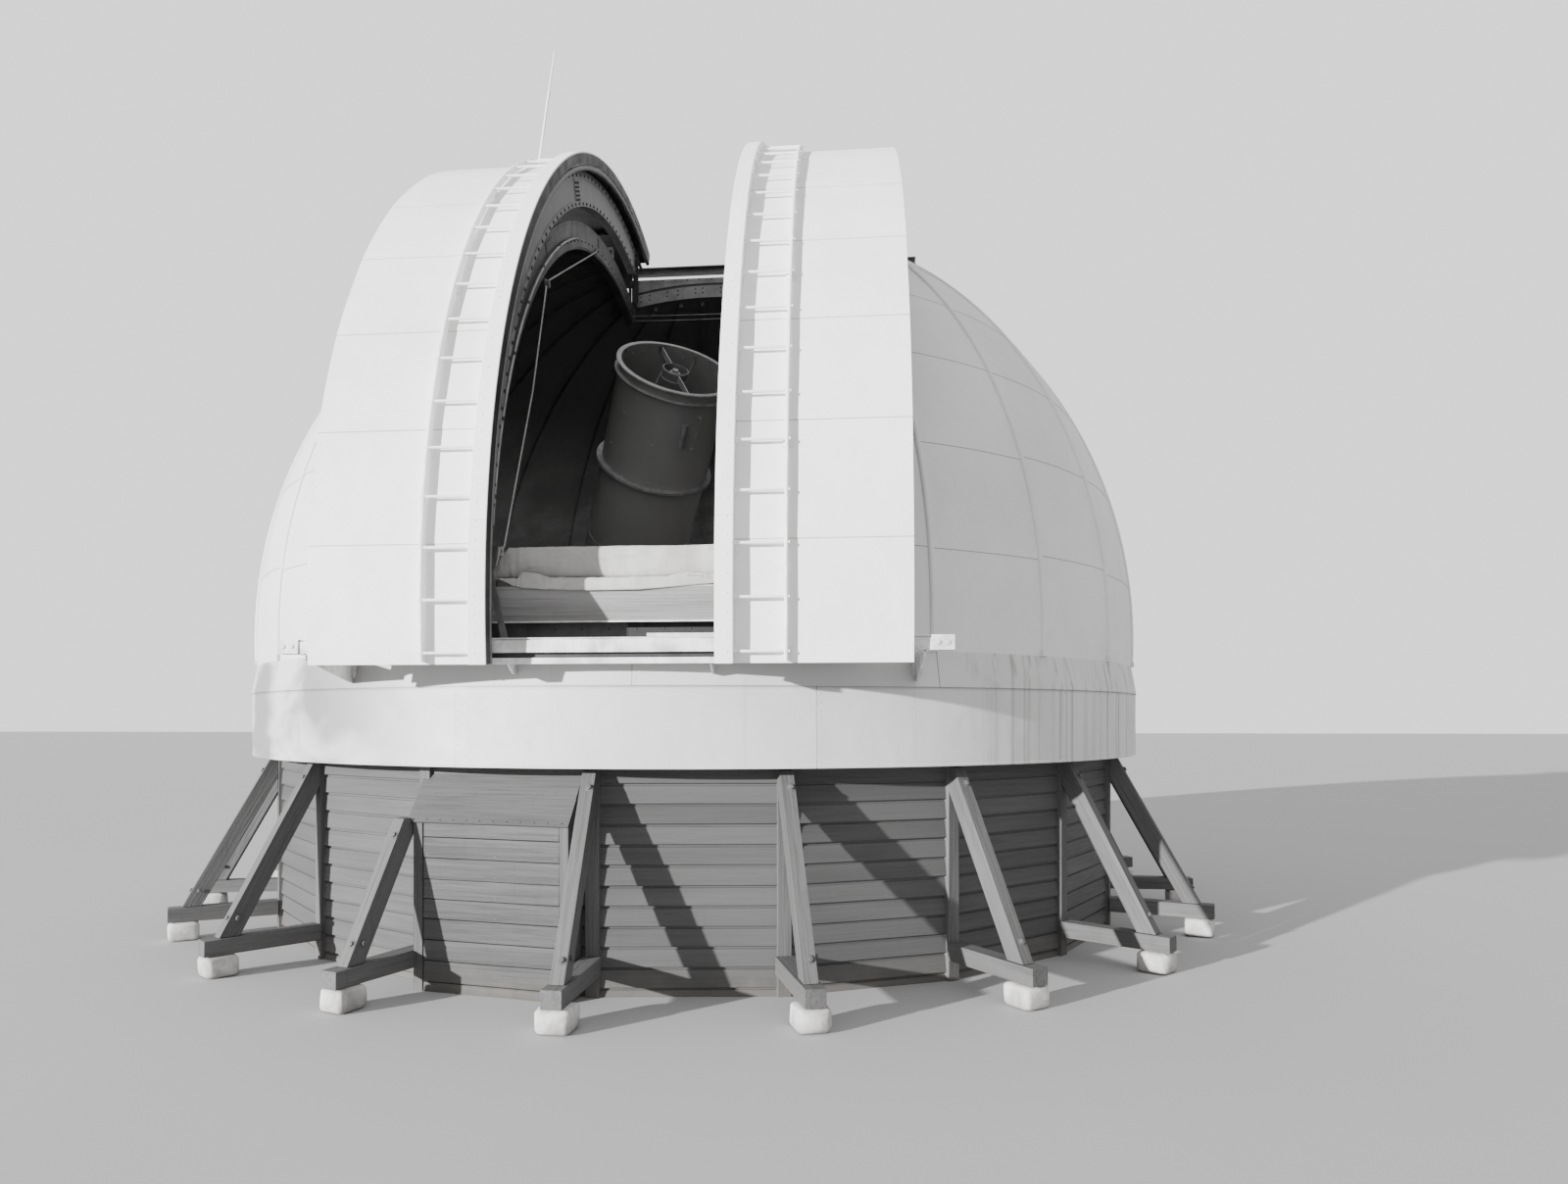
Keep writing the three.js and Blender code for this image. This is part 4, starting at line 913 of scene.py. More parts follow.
makeLeanTo()
makeTrack()
makeBaseRing()
makeDrum()
makeDome()
print("lean-to, track, drum and dome made")


# Framing of the observing slit

slit = {"inner": 4.23, "outer": 4.478, "web": 0.9997, "webIn": 0.9875, "flange": 1.0647, "floor": 2.2912,
        "ledge": 2.4822, "back": 0.9295, "leg": 4.335, "legIn": 0.977, "bolts": 4.302, "pitch": 2.0,
        "pipe": 4.323, "splices": (23.4, 51.6, 79.8), "spliceRows": (4.36, 4.395, 4.42),
        "spliceColumns": (-1.2, -0.4, 0.4, 1.2),
        "hook": [(-0.955, 0.86, 7.02), (-0.955, 0.86, 6.88), (-0.953, 0.853, 6.858), (-0.951, 0.84, 6.85),
                 (-0.951, 0.828, 6.858), (-0.951, 0.822, 6.876)], "lug": (-0.994, -0.16, 7.3),
        "range": (-7, 110, 100)}


def sweep(shape, section, angles, centre, side=1, **look):
    # carries a section (x, radius) round the arch; the angles may differ from corner to corner of the section
    section, angles = np.asarray(section, float), np.asarray(angles, float)
    if angles.ndim == 1:
        angles = angles[:, None]
    shape.tube(onArch(angles, section[None, :, 1], side * section[None, :, 0], centre), **look)


def clipped(section, low, high, steps, centre, floor=None, back=None):
    # each corner starts where sin t = (floor - centre) / r and ends where cos t = -back / r
    radius = np.asarray(section, float)[:, 1]
    start, end = np.full(len(radius), float(low)), np.full(len(radius), float(high))
    if floor is not None:
        start = np.maximum(start, np.degrees(np.arcsin((floor - centre) / radius)))
    if back is not None:
        end = np.minimum(end, np.degrees(np.arccos(np.clip(-back / radius, -1, 1))))
    return start[None] + (end - start)[None] * np.linspace(0, 1, steps)[:, None]


def makeArch(side, name):
    shape = Shape(f"slit_arch_plates_{name}")
    c, s = dome["centre"], slit
    webIn, inner, back = s["webIn"], s["inner"], s["back"]
    foot = np.array([s["floor"], s["floor"], s["ledge"], s["ledge"]])

    def carry(section, floor=s["floor"]):
        sweep(shape, section, clipped(section, *s["range"], c, floor, back), c, side)

    carry(bar(webIn, s["web"], inner + 0.014, s["outer"]), foot)
    carry(bar(webIn - 0.003, s["flange"], inner, inner + 0.0138))
    carry(bar(s["legIn"], webIn - 0.0002, inner + 0.015, s["leg"]))
    bolts = np.arange(-4, 101.5, s["pitch"])
    # painted shade: the bolt heads take the near-black finish
    shape.heads(onArch(bolts, s["bolts"], side * s["legIn"], c), (-side, 0, 0), 0.012, 0.008, slot=3)
    rivets = np.arange(-1, 101.5, 1.0)
    shape.heads(onArch(rivets, s["outer"] - 0.022, side * webIn, c), (-side, 0, 0), 0.006, 0.003)
    for turn in s["splices"]:
        sweep(shape, bar(webIn - 0.006, webIn, s["leg"] + 0.004, s["outer"] - 0.045),
              [turn - 1.6, turn + 1.6], c, side)
        for radius in s["spliceRows"]:
            places = onArch(turn + np.array(s["spliceColumns"]), radius, side * (webIn - 0.006), c)
            shape.heads(places, (-side, 0, 0), 0.006, 0.0035)
    level = [np.sqrt(dome["radius"] ** 2 - x ** 2) for x in (1.0, 1.06)]
    strip = [(1.0003, level[0] - 0.002), (1.06, level[1] - 0.002), (1.061, level[1] + 0.0075),
             (1.004, level[0] + 0.0125), (1.0003, level[0] + 0.0125)]
    sweep(shape, strip, clipped(strip, -3.0, 103, 90, c, None, back), c, side, slot=1)
    if side < 0:
        shape.rod(onArch(np.linspace(9, 64.5, 60), s["pipe"], -0.96, c), 0.011, 12, slot=2)
        for turn in np.arange(12, 64, 8.6):
            sweep(shape, bar(0.9475, 0.9772, s["pipe"] - 0.014, s["pipe"] + 0.014), [turn - 0.2, turn + 0.2],
                  c, -1)
        shape.rod(s["hook"], 0.0085, 8)
        x, y, z = s["lug"]
        shape.post(x, y, 7.19, z, 0.011, 0.05, slot=2)
        shape.beam((x, y, z), (-1.05, y, z), (0, 0, 1), 0.05, 0.01, slot=2)
    shape.make("dome", ["arch", "dome", "bright", "dark"],
               [f"slit_arch_{name}"], "steel_paint")


header = {"front": 0.9078, "band": 0.9138, "back": 0.9295, "half": 0.9838, "low": 4.4296, "top": 7.39,
          "bandHigh": 4.577, "gap": 0.03, "rows": (4.547, 4.493),
          "pairs": (0.11, 0.20, 0.42, 0.55, 0.77, 0.88), "wires": (6.93, 6.87), "face": 0.93,
          "outerBar": (0.9573, 0.0531), "endBar": (0.9885, 0.009)}


def makeHeader():
    # a flat plate whose foot follows z = centre + sqrt(r^2 - x^2), with a curved band riveted on
    h, c = header, dome["centre"]
    front, top, band = h["front"], h["top"], h["band"]
    shape = Shape("slit_header_plate")
    x = np.linspace(-h["half"], h["half"], 41)

    def plate(low, high, near, far, **look):
        share = np.linspace(0, 1, 6)[:, None]
        z = low + (high - low) * share
        grids = [joined(x[None], y, z) for y in (near, far)]
        shape.sheet(*grids, **look)

    def curve(radius):
        return c + np.sqrt(radius ** 2 - x[None] ** 2)

    # painted shade: the plate behind the band and the rivet heads take the near-black finish
    plate(curve(h["low"]), top, band + 0.006, h["back"], slot=2)
    # painted shade: the ends past the face are darkened through the seam mark
    ends = np.where(np.abs(x) > h["face"], 1.0, 0.0)
    plate(curve(h["low"] + 0.0005), curve(h["bandHigh"]), front + 0.0008, band + 0.0058, edge=ends)
    plate(curve(h["bandHigh"] + h["gap"]), top - 0.0005, front + 0.0036, band + 0.0058, edge=ends)
    shape.across(h["face"], front + 0.0035, top - 0.018, 0.036, 0.006)
    for row in h["rows"]:
        for place in h["pairs"]:
            across = np.array([-place, place])
            up = c + np.sqrt(row ** 2 - across ** 2)
            shape.heads(joined(across, front + 0.001, up), (0, -1, 0), 0.012, 0.008, slot=2)
    across = np.arange(-0.9, 0.91, 0.15)
    shape.heads(joined(across, front + 0.0006, top - 0.016), (0, -1, 0), 0.011, 0.007, slot=2)
    middle, deep = (front + h["back"]) / 2, h["back"] - front + 0.009
    level = c + np.sqrt(dome["radius"] ** 2 - h["half"] ** 2 - front ** 2)
    lows = c + np.sqrt(h["low"] ** 2 - h["face"] ** 2), level + 0.004
    for (end, width), low in zip((h["outerBar"], h["endBar"]), lows):
        for side in (-1, 1):
            shape.post(side * end, middle, low, top + 0.0005, width, deep, slot=2)
    for z in h["wires"]:
        s = np.linspace(-1, 1, 25)
        sag = 0.012 * (s ** 2 - 1)
        shape.rod(joined(0.976 * s, 0.85, z + sag), 0.004, 6, slot=1)
    shape.make("dome", ["steel", "bright", "dark"], ["slit_header"], "steel_paint", 0.0008)


# Rails that the shutters roll along

rails = {"frontHalf": 2.31, "front": -4.79, "frontBack": -4.69, "frontLow": 2.438, "frontTop": 2.538,
         "strip": 1.98, "backHalf": 2.47, "backFront": 0.88, "backBack": 0.96, "backLow": 7.44,
         "backTop": 7.53, "feet": (1.025, 2.05), "shadow": (-4.742, 2.42, 0.04, 0.006),
         "lath": (-4.75, 2.382, 0.042, 0.02), "pad": 0.15, "padThick": 0.011, "innerGusset": 0.024,
         "outerGusset": 0.07}


def alongX(shape, section, x0, x1, steps=2, **look):
    # a section (y, z) carried level along X
    section = np.asarray(section, float)
    x = np.linspace(x0, x1, steps)[:, None]
    grid = joined(x, section[None, :, 0], section[None, :, 1])
    shape.tube(grid, axis=look.pop("axis", (1, 0, 0)), **look)


def makeFrontRail():
    r = rails
    shape = Shape("front_rail_channel")
    y0, y1, z0, z1 = r["front"], r["frontBack"], r["frontLow"], r["frontTop"]
    channel = [(y0, z0), (y1, z0), (y1, z0 + 0.01), (y0 + 0.02, z0 + 0.014), (y0 + 0.02, z1 - 0.014),
               (y1, z1 - 0.01), (y1, z1), (y0 + 0.004, z1), (y0 + 0.004, z1 - 0.008),
               (y0 + 0.016, z1 - 0.009), (y0 + 0.016, z1 - 0.016), (y0, z1 - 0.018), (y0, z0 + 0.011),
               (y0 + 0.002, z0 + 0.005)]
    alongX(shape, channel, -r["frontHalf"], r["frontHalf"], 13)
    # painted shadow: a near-black strip below the channel, where the rail's shadow falls
    shape.across(r["strip"], *r["shadow"], slot=1)
    for side in (-1, 1):
        plate, middle = side * (r["frontHalf"] - r["pad"] / 2), y0 - r["padThick"] / 2
        shape.post(plate, middle, z0, z1, r["pad"], r["padThick"])
        bolts = [(plate + step, y0 - r["padThick"], (z0 + z1) / 2) for step in (-0.03, 0.03)]
        shape.heads(bolts, (0, -1, 0), 0.018, 0.009, 16, 0.86)
    shape.across(r["strip"], *r["lath"])
    gussets = {0.70: [(4.738, z0), (4.738, 2.377), (4.60, 2.30), (4.556, 2.30), (4.556, z0)],
               2.12: [(4.78, z0), (4.78, 2.40), (4.12, 2.26), (4.085, 2.26), (4.085, z0)]}
    for x, outline in gussets.items():
        wide = r["innerGusset"] if x < 1 else r["outerGusset"]
        for side in (-1, 1):
            shape.prism(outline, (side * x, 0, 0), (0, -1, 0), (0, 0, 1), 0.014)
            far = outline[-1][0]
            shape.beam((side * x, -outline[0][0], z0 - 0.0045), (side * x, -far, z0 - 0.0045), (0, 0, 1),
                       wide, 0.009)
            shape.post(side * x, -far - 0.005, 2.30, z0, wide, 0.01)
            heads = [(side * x + step, -4.787, z0 + 0.025) for step in (-0.02, 0.02)]
            shape.heads(heads, (0, -1, 0), 0.009, 0.006)
    shape.make("dome", ["rail", "dark"], ["front_rail"], "rail_paint", 0.0012)


def makeBackRail():
    r = rails
    shape = Shape("back_rail_channel")
    y0, y1, z0, z1 = r["backFront"], r["backBack"], r["backLow"], r["backTop"]
    channel = [(y0, z0), (y1, z0), (y1, z1), (y0, z1), (y0, z1 - 0.01), (y1 - 0.014, z1 - 0.015),
               (y1 - 0.014, z0 + 0.015), (y0, z0 + 0.01)]
    alongX(shape, channel, -r["backHalf"], r["backHalf"], 9)
    middle = (y0 + y1) / 2
    for x in (*[-f for f in r["feet"]], *r["feet"]):
        level = dome["centre"] + np.sqrt(dome["radius"] ** 2 - x ** 2 - middle ** 2)
        shape.post(x, middle, level + 0.004, z0 + 0.004, 0.012, 0.06, slot=1)
        shape.post(x + 0.016, y0 + 0.012, level + 0.01, z0 + 0.004, 0.03, 0.008, slot=1)
        normal = unit([x, middle, level - dome["centre"]])
        across = unit(np.cross(normal, (0, 1, 0)))
        base = np.array([x, middle, level]) + normal * 0.007
        shape.beam(base - across * 0.05, base + across * 0.05, normal, 0.075, 0.008)
        places = [base + across * a + np.cross(normal, across) * b for a in (-0.036, 0.036)
                  for b in (-0.025, 0.025)]
        shape.heads(np.array(places) + normal * 0.004, normal, 0.009, 0.007)
        shape.heads([(x, y0 + 0.02, z0), (x, y1 - 0.03, z0)], (0, 0, -1), 0.008, 0.005)
    shape.make("dome", ["rail back", "dark"], ["back_rail"], "steel_paint", 0.0012)


# Wind screen: a fixed board with a gathered canvas above it, and the canvas's halyard

screen = {"half": 0.9755, "foot": (-4.35, 2.6815), "head": (-4.47, 2.907), "thick": 0.0305, "rise": 0.017,
          "top": 2.925, "shelf": -4.327}
sill = {"face": -4.25, "low": 2.2908, "high": 2.73, "lip": -4.334, "thick": 0.008, "bolts": (2.52, 2.64)}
stay = {"foot": (-0.7767, 2.4808), "head": (-0.9365, 3.1595), "face": -4.5, "thick": 0.008, "width": 0.049}


def makeScreenBoard():
    # one board leans outwards from its foot to its head; a shelf closes its top and a strip its foot
    k = screen
    half, top = k["half"], k["top"]
    shape = Shape("screen_boards")
    foot, head = np.array(k["foot"]), np.array(k["head"])
    back = np.array([k["thick"], k["rise"]])
    share = np.linspace(0, 1, 7)[:, None]
    face = foot + (head - foot) * share - np.array([0.0015, 0]) * np.sin(np.pi * share)
    board = [*face, head + back, foot + back]
    alongX(shape, board, -half, half, 9)
    shelf = [(head[0] - 0.004, top - 0.0175), (head[0] - 0.004, top - 0.001), (head[0] - 0.001, top),
             (k["shelf"], top), (k["shelf"], top - 0.0175)]
    alongX(shape, shelf, -half, half, 9)
    strip = [(foot[0] - 0.012, foot[1] - 0.003), (foot[0] + 0.02, foot[1] - 0.003),
             (foot[0] + 0.02, foot[1] + 0.008), (foot[0] - 0.012, foot[1] + 0.008)]
    alongX(shape, strip, -half, half, slot=1)
    shape.make("dome", ["screen", "rail"], ["screen_board"], "wall_paint", 0.001)


def makeSill():
    # a sheet from the ring up to the board, bent forward at its top, with bolt rows
    k = sill
    lip, high = k["lip"], k["high"]
    shape = Shape("sill_sheet")
    face, back, inner = k["face"], k["face"] + k["thick"], high - k["thick"]
    plate = [(face, k["low"]), (back, k["low"]), (back, high - 0.003), (back - 0.003, high), (lip, high),
             (lip, inner), (face - 0.002, inner), (face, inner - 0.002)]
    alongX(shape, plate, -screen["half"], 0.04, 5)
    # painted shade: the right half, where the sun reaches, takes the near-black finish with the seam mark at
    # full
    alongX(shape, plate, 0.0402, screen["half"], 5, slot=2, edge=1.0)
    for x in np.linspace(-0.9, 0.9, 10):
        shape.heads([(x, face, z) for z in k["bolts"]], (0, -1, 0), 0.008, 0.005, slot=2)
    shape.beam((0.18, face - 0.006, 2.594), (screen["half"], face - 0.006, 2.594), (0, 1, 0), 0.026, 0.012,
               slot=1)
    shape.make("dome", ["sill", "rail", "dark"], ["sill_plate"], "steel_paint", 0.0008)


def makeStay():
    # a flat bar leaning across the canvas's left end, with a lug to the arch
    k = stay
    shape = Shape("screen_stay_bar")
    (x0, z0), (x1, z1) = k["foot"], k["head"]
    middle = k["face"] + k["thick"] / 2
    lean = k["width"] / 2
    outline = [(x0 - lean, z0), (x0 + lean, z0), (x1 + lean, z1), (x1 - lean, z1)]
    shape.prism(outline, (0, middle, 0), (1, 0, 0), (0, 0, 1), k["thick"])
    shape.beam((-0.9838, k["face"] + 0.045, z1 - 0.02), (x1 + 0.015, k["face"] + 0.045, z1 - 0.02), (0, 0, 1),
               0.07, 0.028)
    shape.heads([(x1, k["face"], z1 - 0.03), (x1 + 0.002, k["face"], z1 - 0.07)], (0, -1, 0), 0.01, 0.007)
    shape.make("dome", ["iron"], ["screen_stay"], "steel_paint", 0.0008)


canvas = {"half": 0.914, "wall": -4.3375, "thick": 0.004, "columns": 220, "rows": 90, "middle": 3.0,
          "fold": [(0, 3.185), (0.003, 3.208), (0.012, 3.223), (0.026, 3.226), (0.038, 3.218), (0.047, 3.196),
                   (0.051, 3.162), (0.053, 3.122), (0.052, 3.082), (0.047, 3.044), (0.038, 3.018),
                   (0.024, 3.004), (0.019, 2.999), (0.03, 2.994), (0.07, 2.992), (0.112, 2.99),
                   (0.133, 2.983), (0.1425, 2.968), (0.1445, 2.94), (0.1445, 2.91), (0.144, 2.893)],
          "rise": [(-0.914, 0.10), (-0.861, 0.098), (-0.731, 0.033), (-0.614, 0.016), (-0.308, 0),
                   (0.154, 0.002), (0.418, 0.019), (0.717, 0.040), (0.914, 0.045)],
          "lift": [(-0.914, 0.004), (0.057, 0.0), (0.37, 0.006), (0.418, 0.02), (0.49, 0.032), (0.574, 0.026),
                   (0.914, 0.014)]}


def smooth(points, count):
    # the same curve with evenly spaced points, rounded by averaging neighbours
    points = np.asarray(points, float)
    length = np.concatenate([[0], np.cumsum(np.hypot(*np.diff(points, axis=0).T))])
    at = np.linspace(0, length[-1], count)
    path = np.stack([np.interp(at, length, points[:, k]) for k in range(2)], axis=-1)
    for _ in range(4):
        path[1:-1] = 0.25 * path[:-2] + 0.5 * path[1:-1] + 0.25 * path[2:]
    return path


def ripple(x, s, waves):
    # a sum of slanted waves, a sin(k x + m s + p), with their slant and phase drawn at random
    total = 0 * x * s
    for size, pitch in waves:
        total = total + size * np.sin(x * pitch * draw.uniform(0.75, 1.25) + s * draw.uniform(-7, 7)
                                      + draw.uniform(0, 6))
    return total


def makeCanvas():
    # the section (out, z) of the roll and the fold is carried along X; the fold's two edges follow
    # measured lines, the roll narrows towards its left end by 1 - 0.62 e, and small waves shift each
    # point along its normal
    k = canvas
    shape = Shape("wind_canvas")
    path = smooth(k["fold"], k["rows"])
    across = np.gradient(path, axis=0)
    normal = unit(np.stack([-across[:, 1], across[:, 0]], axis=-1))
    normal = normal * np.sign((normal * (path - path.mean(0)))[: k["rows"] // 2].sum(1).mean())
    x = np.linspace(-1, 1, k["columns"])[None]
    s = np.linspace(0, 1, k["rows"])[:, None]
    place = k["half"] * x
    out, height = path[:, None, 0] + 0 * x, path[:, None, 1] + 0 * x
    end = np.clip((-0.80 - place) / 0.11, 0, 1) ** 1.5
    pulls = np.abs(ripple(x * 2, s, [(1, 14), (1, 27)]))
    wave = ripple(x, s, [(0.0016, 5), (0.0010, 12), (0.0006, 33)])
    wave = wave - 0.006 * np.exp(-(pulls / 0.2) ** 2) * np.exp(-((place + 0.9) / 0.13) ** 2)
    wave = wave + ripple(x, s, [(0.0012, 70), (0.0008, 120)]) * (0.25 + np.exp(-((place + 0.85) / 0.2) ** 2))
    onFold = np.clip((out - 0.02) / 0.09, 0, 1) * (height < 2.9995)
    rise = np.interp(place, *zip(*k["rise"]))
    lift = np.interp(place, *zip(*k["lift"]))
    down = np.clip((2.983 - height) / 0.09, 0, 1)
    edge = lift * (1 - down) + rise * down
    roll = height >= 2.9995
    height = np.where(roll, k["middle"] + (height - k["middle"]) * (1 - 0.62 * end), height + edge * onFold)
    held = np.clip((1 - s) * 12, 0, 1) * np.clip(s * 12, 0, 1)
    pushed = (wave * held)[..., None] * normal[:, None]
    out = np.maximum(out * (1 - 0.35 * end * roll) + pushed[..., 0], 0.0005)
    out = np.minimum(out, 0.1465)
    outer = joined(place, k["wall"] - out, height + pushed[..., 1] - 0.003 * (1 - x ** 2))
    tangent = unit(np.gradient(outer, axis=0))
    inward = unit(np.cross(tangent, (1.0, 0, 0)))
    inward = inward * np.sign((inward * (outer.mean((0, 1)) - outer)).sum(-1)[: k["rows"] // 2].mean())
    # painted shadow: a dark line in the gap under the roll and along the fold's lower edge
    creaseShade = np.exp(-((height - 3.002) / 0.006) ** 2) * 0.9 * (out < 0.05)
    darkening = creaseShade + np.exp(-((1 - s) / 0.012) ** 2) * 0.8
    shape.sheet(outer, outer + inward * k["thick"], edge=darkening)
    makeFlaps(shape)
    piece = shape.make("dome", ["cloth"], ["wind_screen"], "canvas", smooth=60)
    return piece


def makeFlaps(shape):
    # loose corners of the canvas: an upper and a lower edge line with rows of points between them
    flaps = [([(-0.684, 3.018), (-0.663, 3.037), (-0.552, 3.023), (-0.472, 2.991), (-0.429, 2.987),
               (-0.362, 2.992)],
              [(-0.73, 2.926), (-0.675, 2.909), (-0.552, 2.899), (-0.5, 2.898), (-0.454, 2.898),
               (-0.43, 2.93)], 0.1462),
             ([(0.50, 3.02), (0.548, 3.011), (0.631, 3.006), (0.679, 2.976)],
              [(0.50, 2.99), (0.56, 2.985), (0.631, 2.98), (0.679, 2.965)], 0.1462)]
    for upper, lower, out in flaps:
        u = np.linspace(0, 1, 26)[None]
        v = np.linspace(0, 1, 12)[:, None]
        places = np.linspace(0, 1, len(upper))
        top = [np.interp(u, places, [p[i] for p in upper]) for i in range(2)]
        low = [np.interp(u, places, [p[i] for p in lower]) for i in range(2)]
        x, z = [top[i] * (1 - v) + low[i] * v for i in range(2)]
        wave = np.abs(ripple(u * 3, v, [(0.003, 3), (0.002, 7)]))
        y = canvas["wall"] - out - 0.0006 * np.sin(np.pi * v) + wave
        outer = joined(x, y, z)
        # painted shadow: dark lines along the flaps' upper and lower edges
        shape.sheet(outer, outer + [0, 0.003, 0],
                    edge=0.9 * np.exp(-(np.minimum(v, 1 - v) / 0.05) ** 2) + 0 * u)


halyard = {"rope": [(-0.845, -4.362, 3.222), (-0.925, -3.41, 4.65), (-0.949, -2.935, 5.71)],
           "block": (-0.95, -2.89, 5.75), "hook": (-0.966, -1.07, 6.85), "radius": 0.0068,
           "knot": (-0.86, -4.392, 3.19), "tail": ((-0.872, -4.391, 3.168), (-0.892, -4.391, 3.09))}


def makeHalyard():
    k = halyard
    shape = Shape("halyard_rope")

    def strands(start, end):
        start, end = np.array(start), np.array(end)
        count = max(int(np.linalg.norm(end - start) / 0.02), 2)
        path = start + (end - start) * np.linspace(0, 1, count)[:, None]
        shape.rod(path, k["radius"] * (1 + 0.12 * np.sin(np.arange(count) * 2.1)), 8)

    for start, end in pairwise(k["rope"]):
        strands(start, end)
    # the knot: (x + a cos t, y + b cos 0.7 t, z + c sin(1.5 t + 0.4)), with a short tail
    t = np.linspace(0, 5.5 * np.pi, 80)
    loops = np.stack([0.017 * np.cos(t), 0.004 * np.cos(0.7 * t), 0.03 * np.sin(1.5 * t + 0.4)], axis=-1)
    shape.rod(np.array(k["knot"]) + loops, 0.0055, 8)
    strands(*k["tail"])
    block, hook = np.array(k["block"]), np.array(k["hook"])
    strands(block + [0, 0.02, 0.035], hook + [0.01, -0.02, -0.01])
    groove = [(-0.009, 0.038), (-0.004, 0.031), (0.004, 0.031), (0.009, 0.038), (0.009, 0.006),
              (-0.009, 0.006)]
    lathe(shape, groove, block, (1, 0, 0), 24, True, slot=1)
    for side in (-1, 1):
        cheek = block + [side * 0.013, 0, 0]
        lathe(shape, [(-0.002, 0.03), (-0.001, 0.034), (0.002, 0.034)], cheek, (1, 0, 0), 16, False, slot=1)
    shape.beam(block - [0.022, 0, 0.04], block + [-0.022, 0.0, 0.04], (1, 0, 0), 0.05, 0.006, slot=1)
    shape.beam(block - [0.026, 0, 0], block + [0.018, 0, 0], (0, 0, 1), 0.012, 0.012, slot=1)
    lathe(shape, [(-0.011, 0.024), (0, 0.026), (0.004, 0.02), (0.006, 0.008), (0.03, 0.008), (0.034, 0.014)],
          hook, (1, 0, 0), 14, False, slot=1)
    shape.make("dome", ["rope", "iron"], ["halyard"], "iron_paint", smooth=50)


def lathe(shape, profile, origin, axis, sides=32, hollow=False, **look):
    # turns a profile (along, radius) about an axis: a ring at each point, or a closed band where hollow
    profile, origin, axis = np.asarray(profile, float), np.asarray(origin, float), unit(axis)
    first = unit(np.cross(axis, np.eye(3)[np.argmin(np.abs(axis))]))
    second = np.cross(axis, first)
    circle = roundPath(np.arange(sides) * 360 / sides)
    ring = circle[:, :1] * first + circle[:, 1:] * second
    grid = origin + profile[:, None, :1] * axis + profile[:, None, 1:] * ring[None]
    if hollow:
        shape.tube(grid.transpose(1, 0, 2), True, **look)
    else:
        shape.tube(grid, **look)


for side, name in bothSides:
    makeArch(side, name)
makeHeader()
makeFrontRail()
makeBackRail()
makeScreenBoard()
makeSill()
makeStay()
makeCanvas()
makeHalyard()
print("slit framing, rails and wind screen made")


# Shutters: lapped sheet on a curved frame, with a curb, a plate girder and a ladder each

shutter = {"centre": 2.768, "inner": 0.76, "outer": 2.043, "skin": 4.8995, "under": 4.874, "start": -4.85,
           "end": 100.0, "firstSeam": 4.8, "seamPitch": 9.6, "lap": 0.13, "line": 0.12, "lift": 0.0028,
           "cheekIn": 4.5, "floor": 2.5398, "bead": 0.785, "beadRadius": 0.024,
           "hanger": (0.77, 0.96, 7.531, 7.56), "hangerBolts": (0.895, 0.935), "cheekRow": 4.53,
           "edge": 4.868, "cheekTop": 4.8705}
curb = {"outer": 0.88, "low": 4.9045, "high": 4.9995, "rivets": 0.838, "pitch": 1.44,
        "joints": (6.2, 26.9, 47.5, 68.1, 88.7)}
girder = {"web": 0.87, "inner": 4.56, "outer": 4.85, "under": 4.871, "flange": 0.96, "rows": (4.575, 4.814),
          "pitch": 1.9, "splice": 62.0, "end": 96.25, "upright": (0.864, 6.947, 7.586), "hangerFront": 0.49,
          "thick": 0.006, "uprightFront": 0.507, "spliceRows": (4.61, 4.645, 4.68, 4.715, 4.75),
          "spliceColumns": (-0.75, -0.3, 0.3, 0.75)}


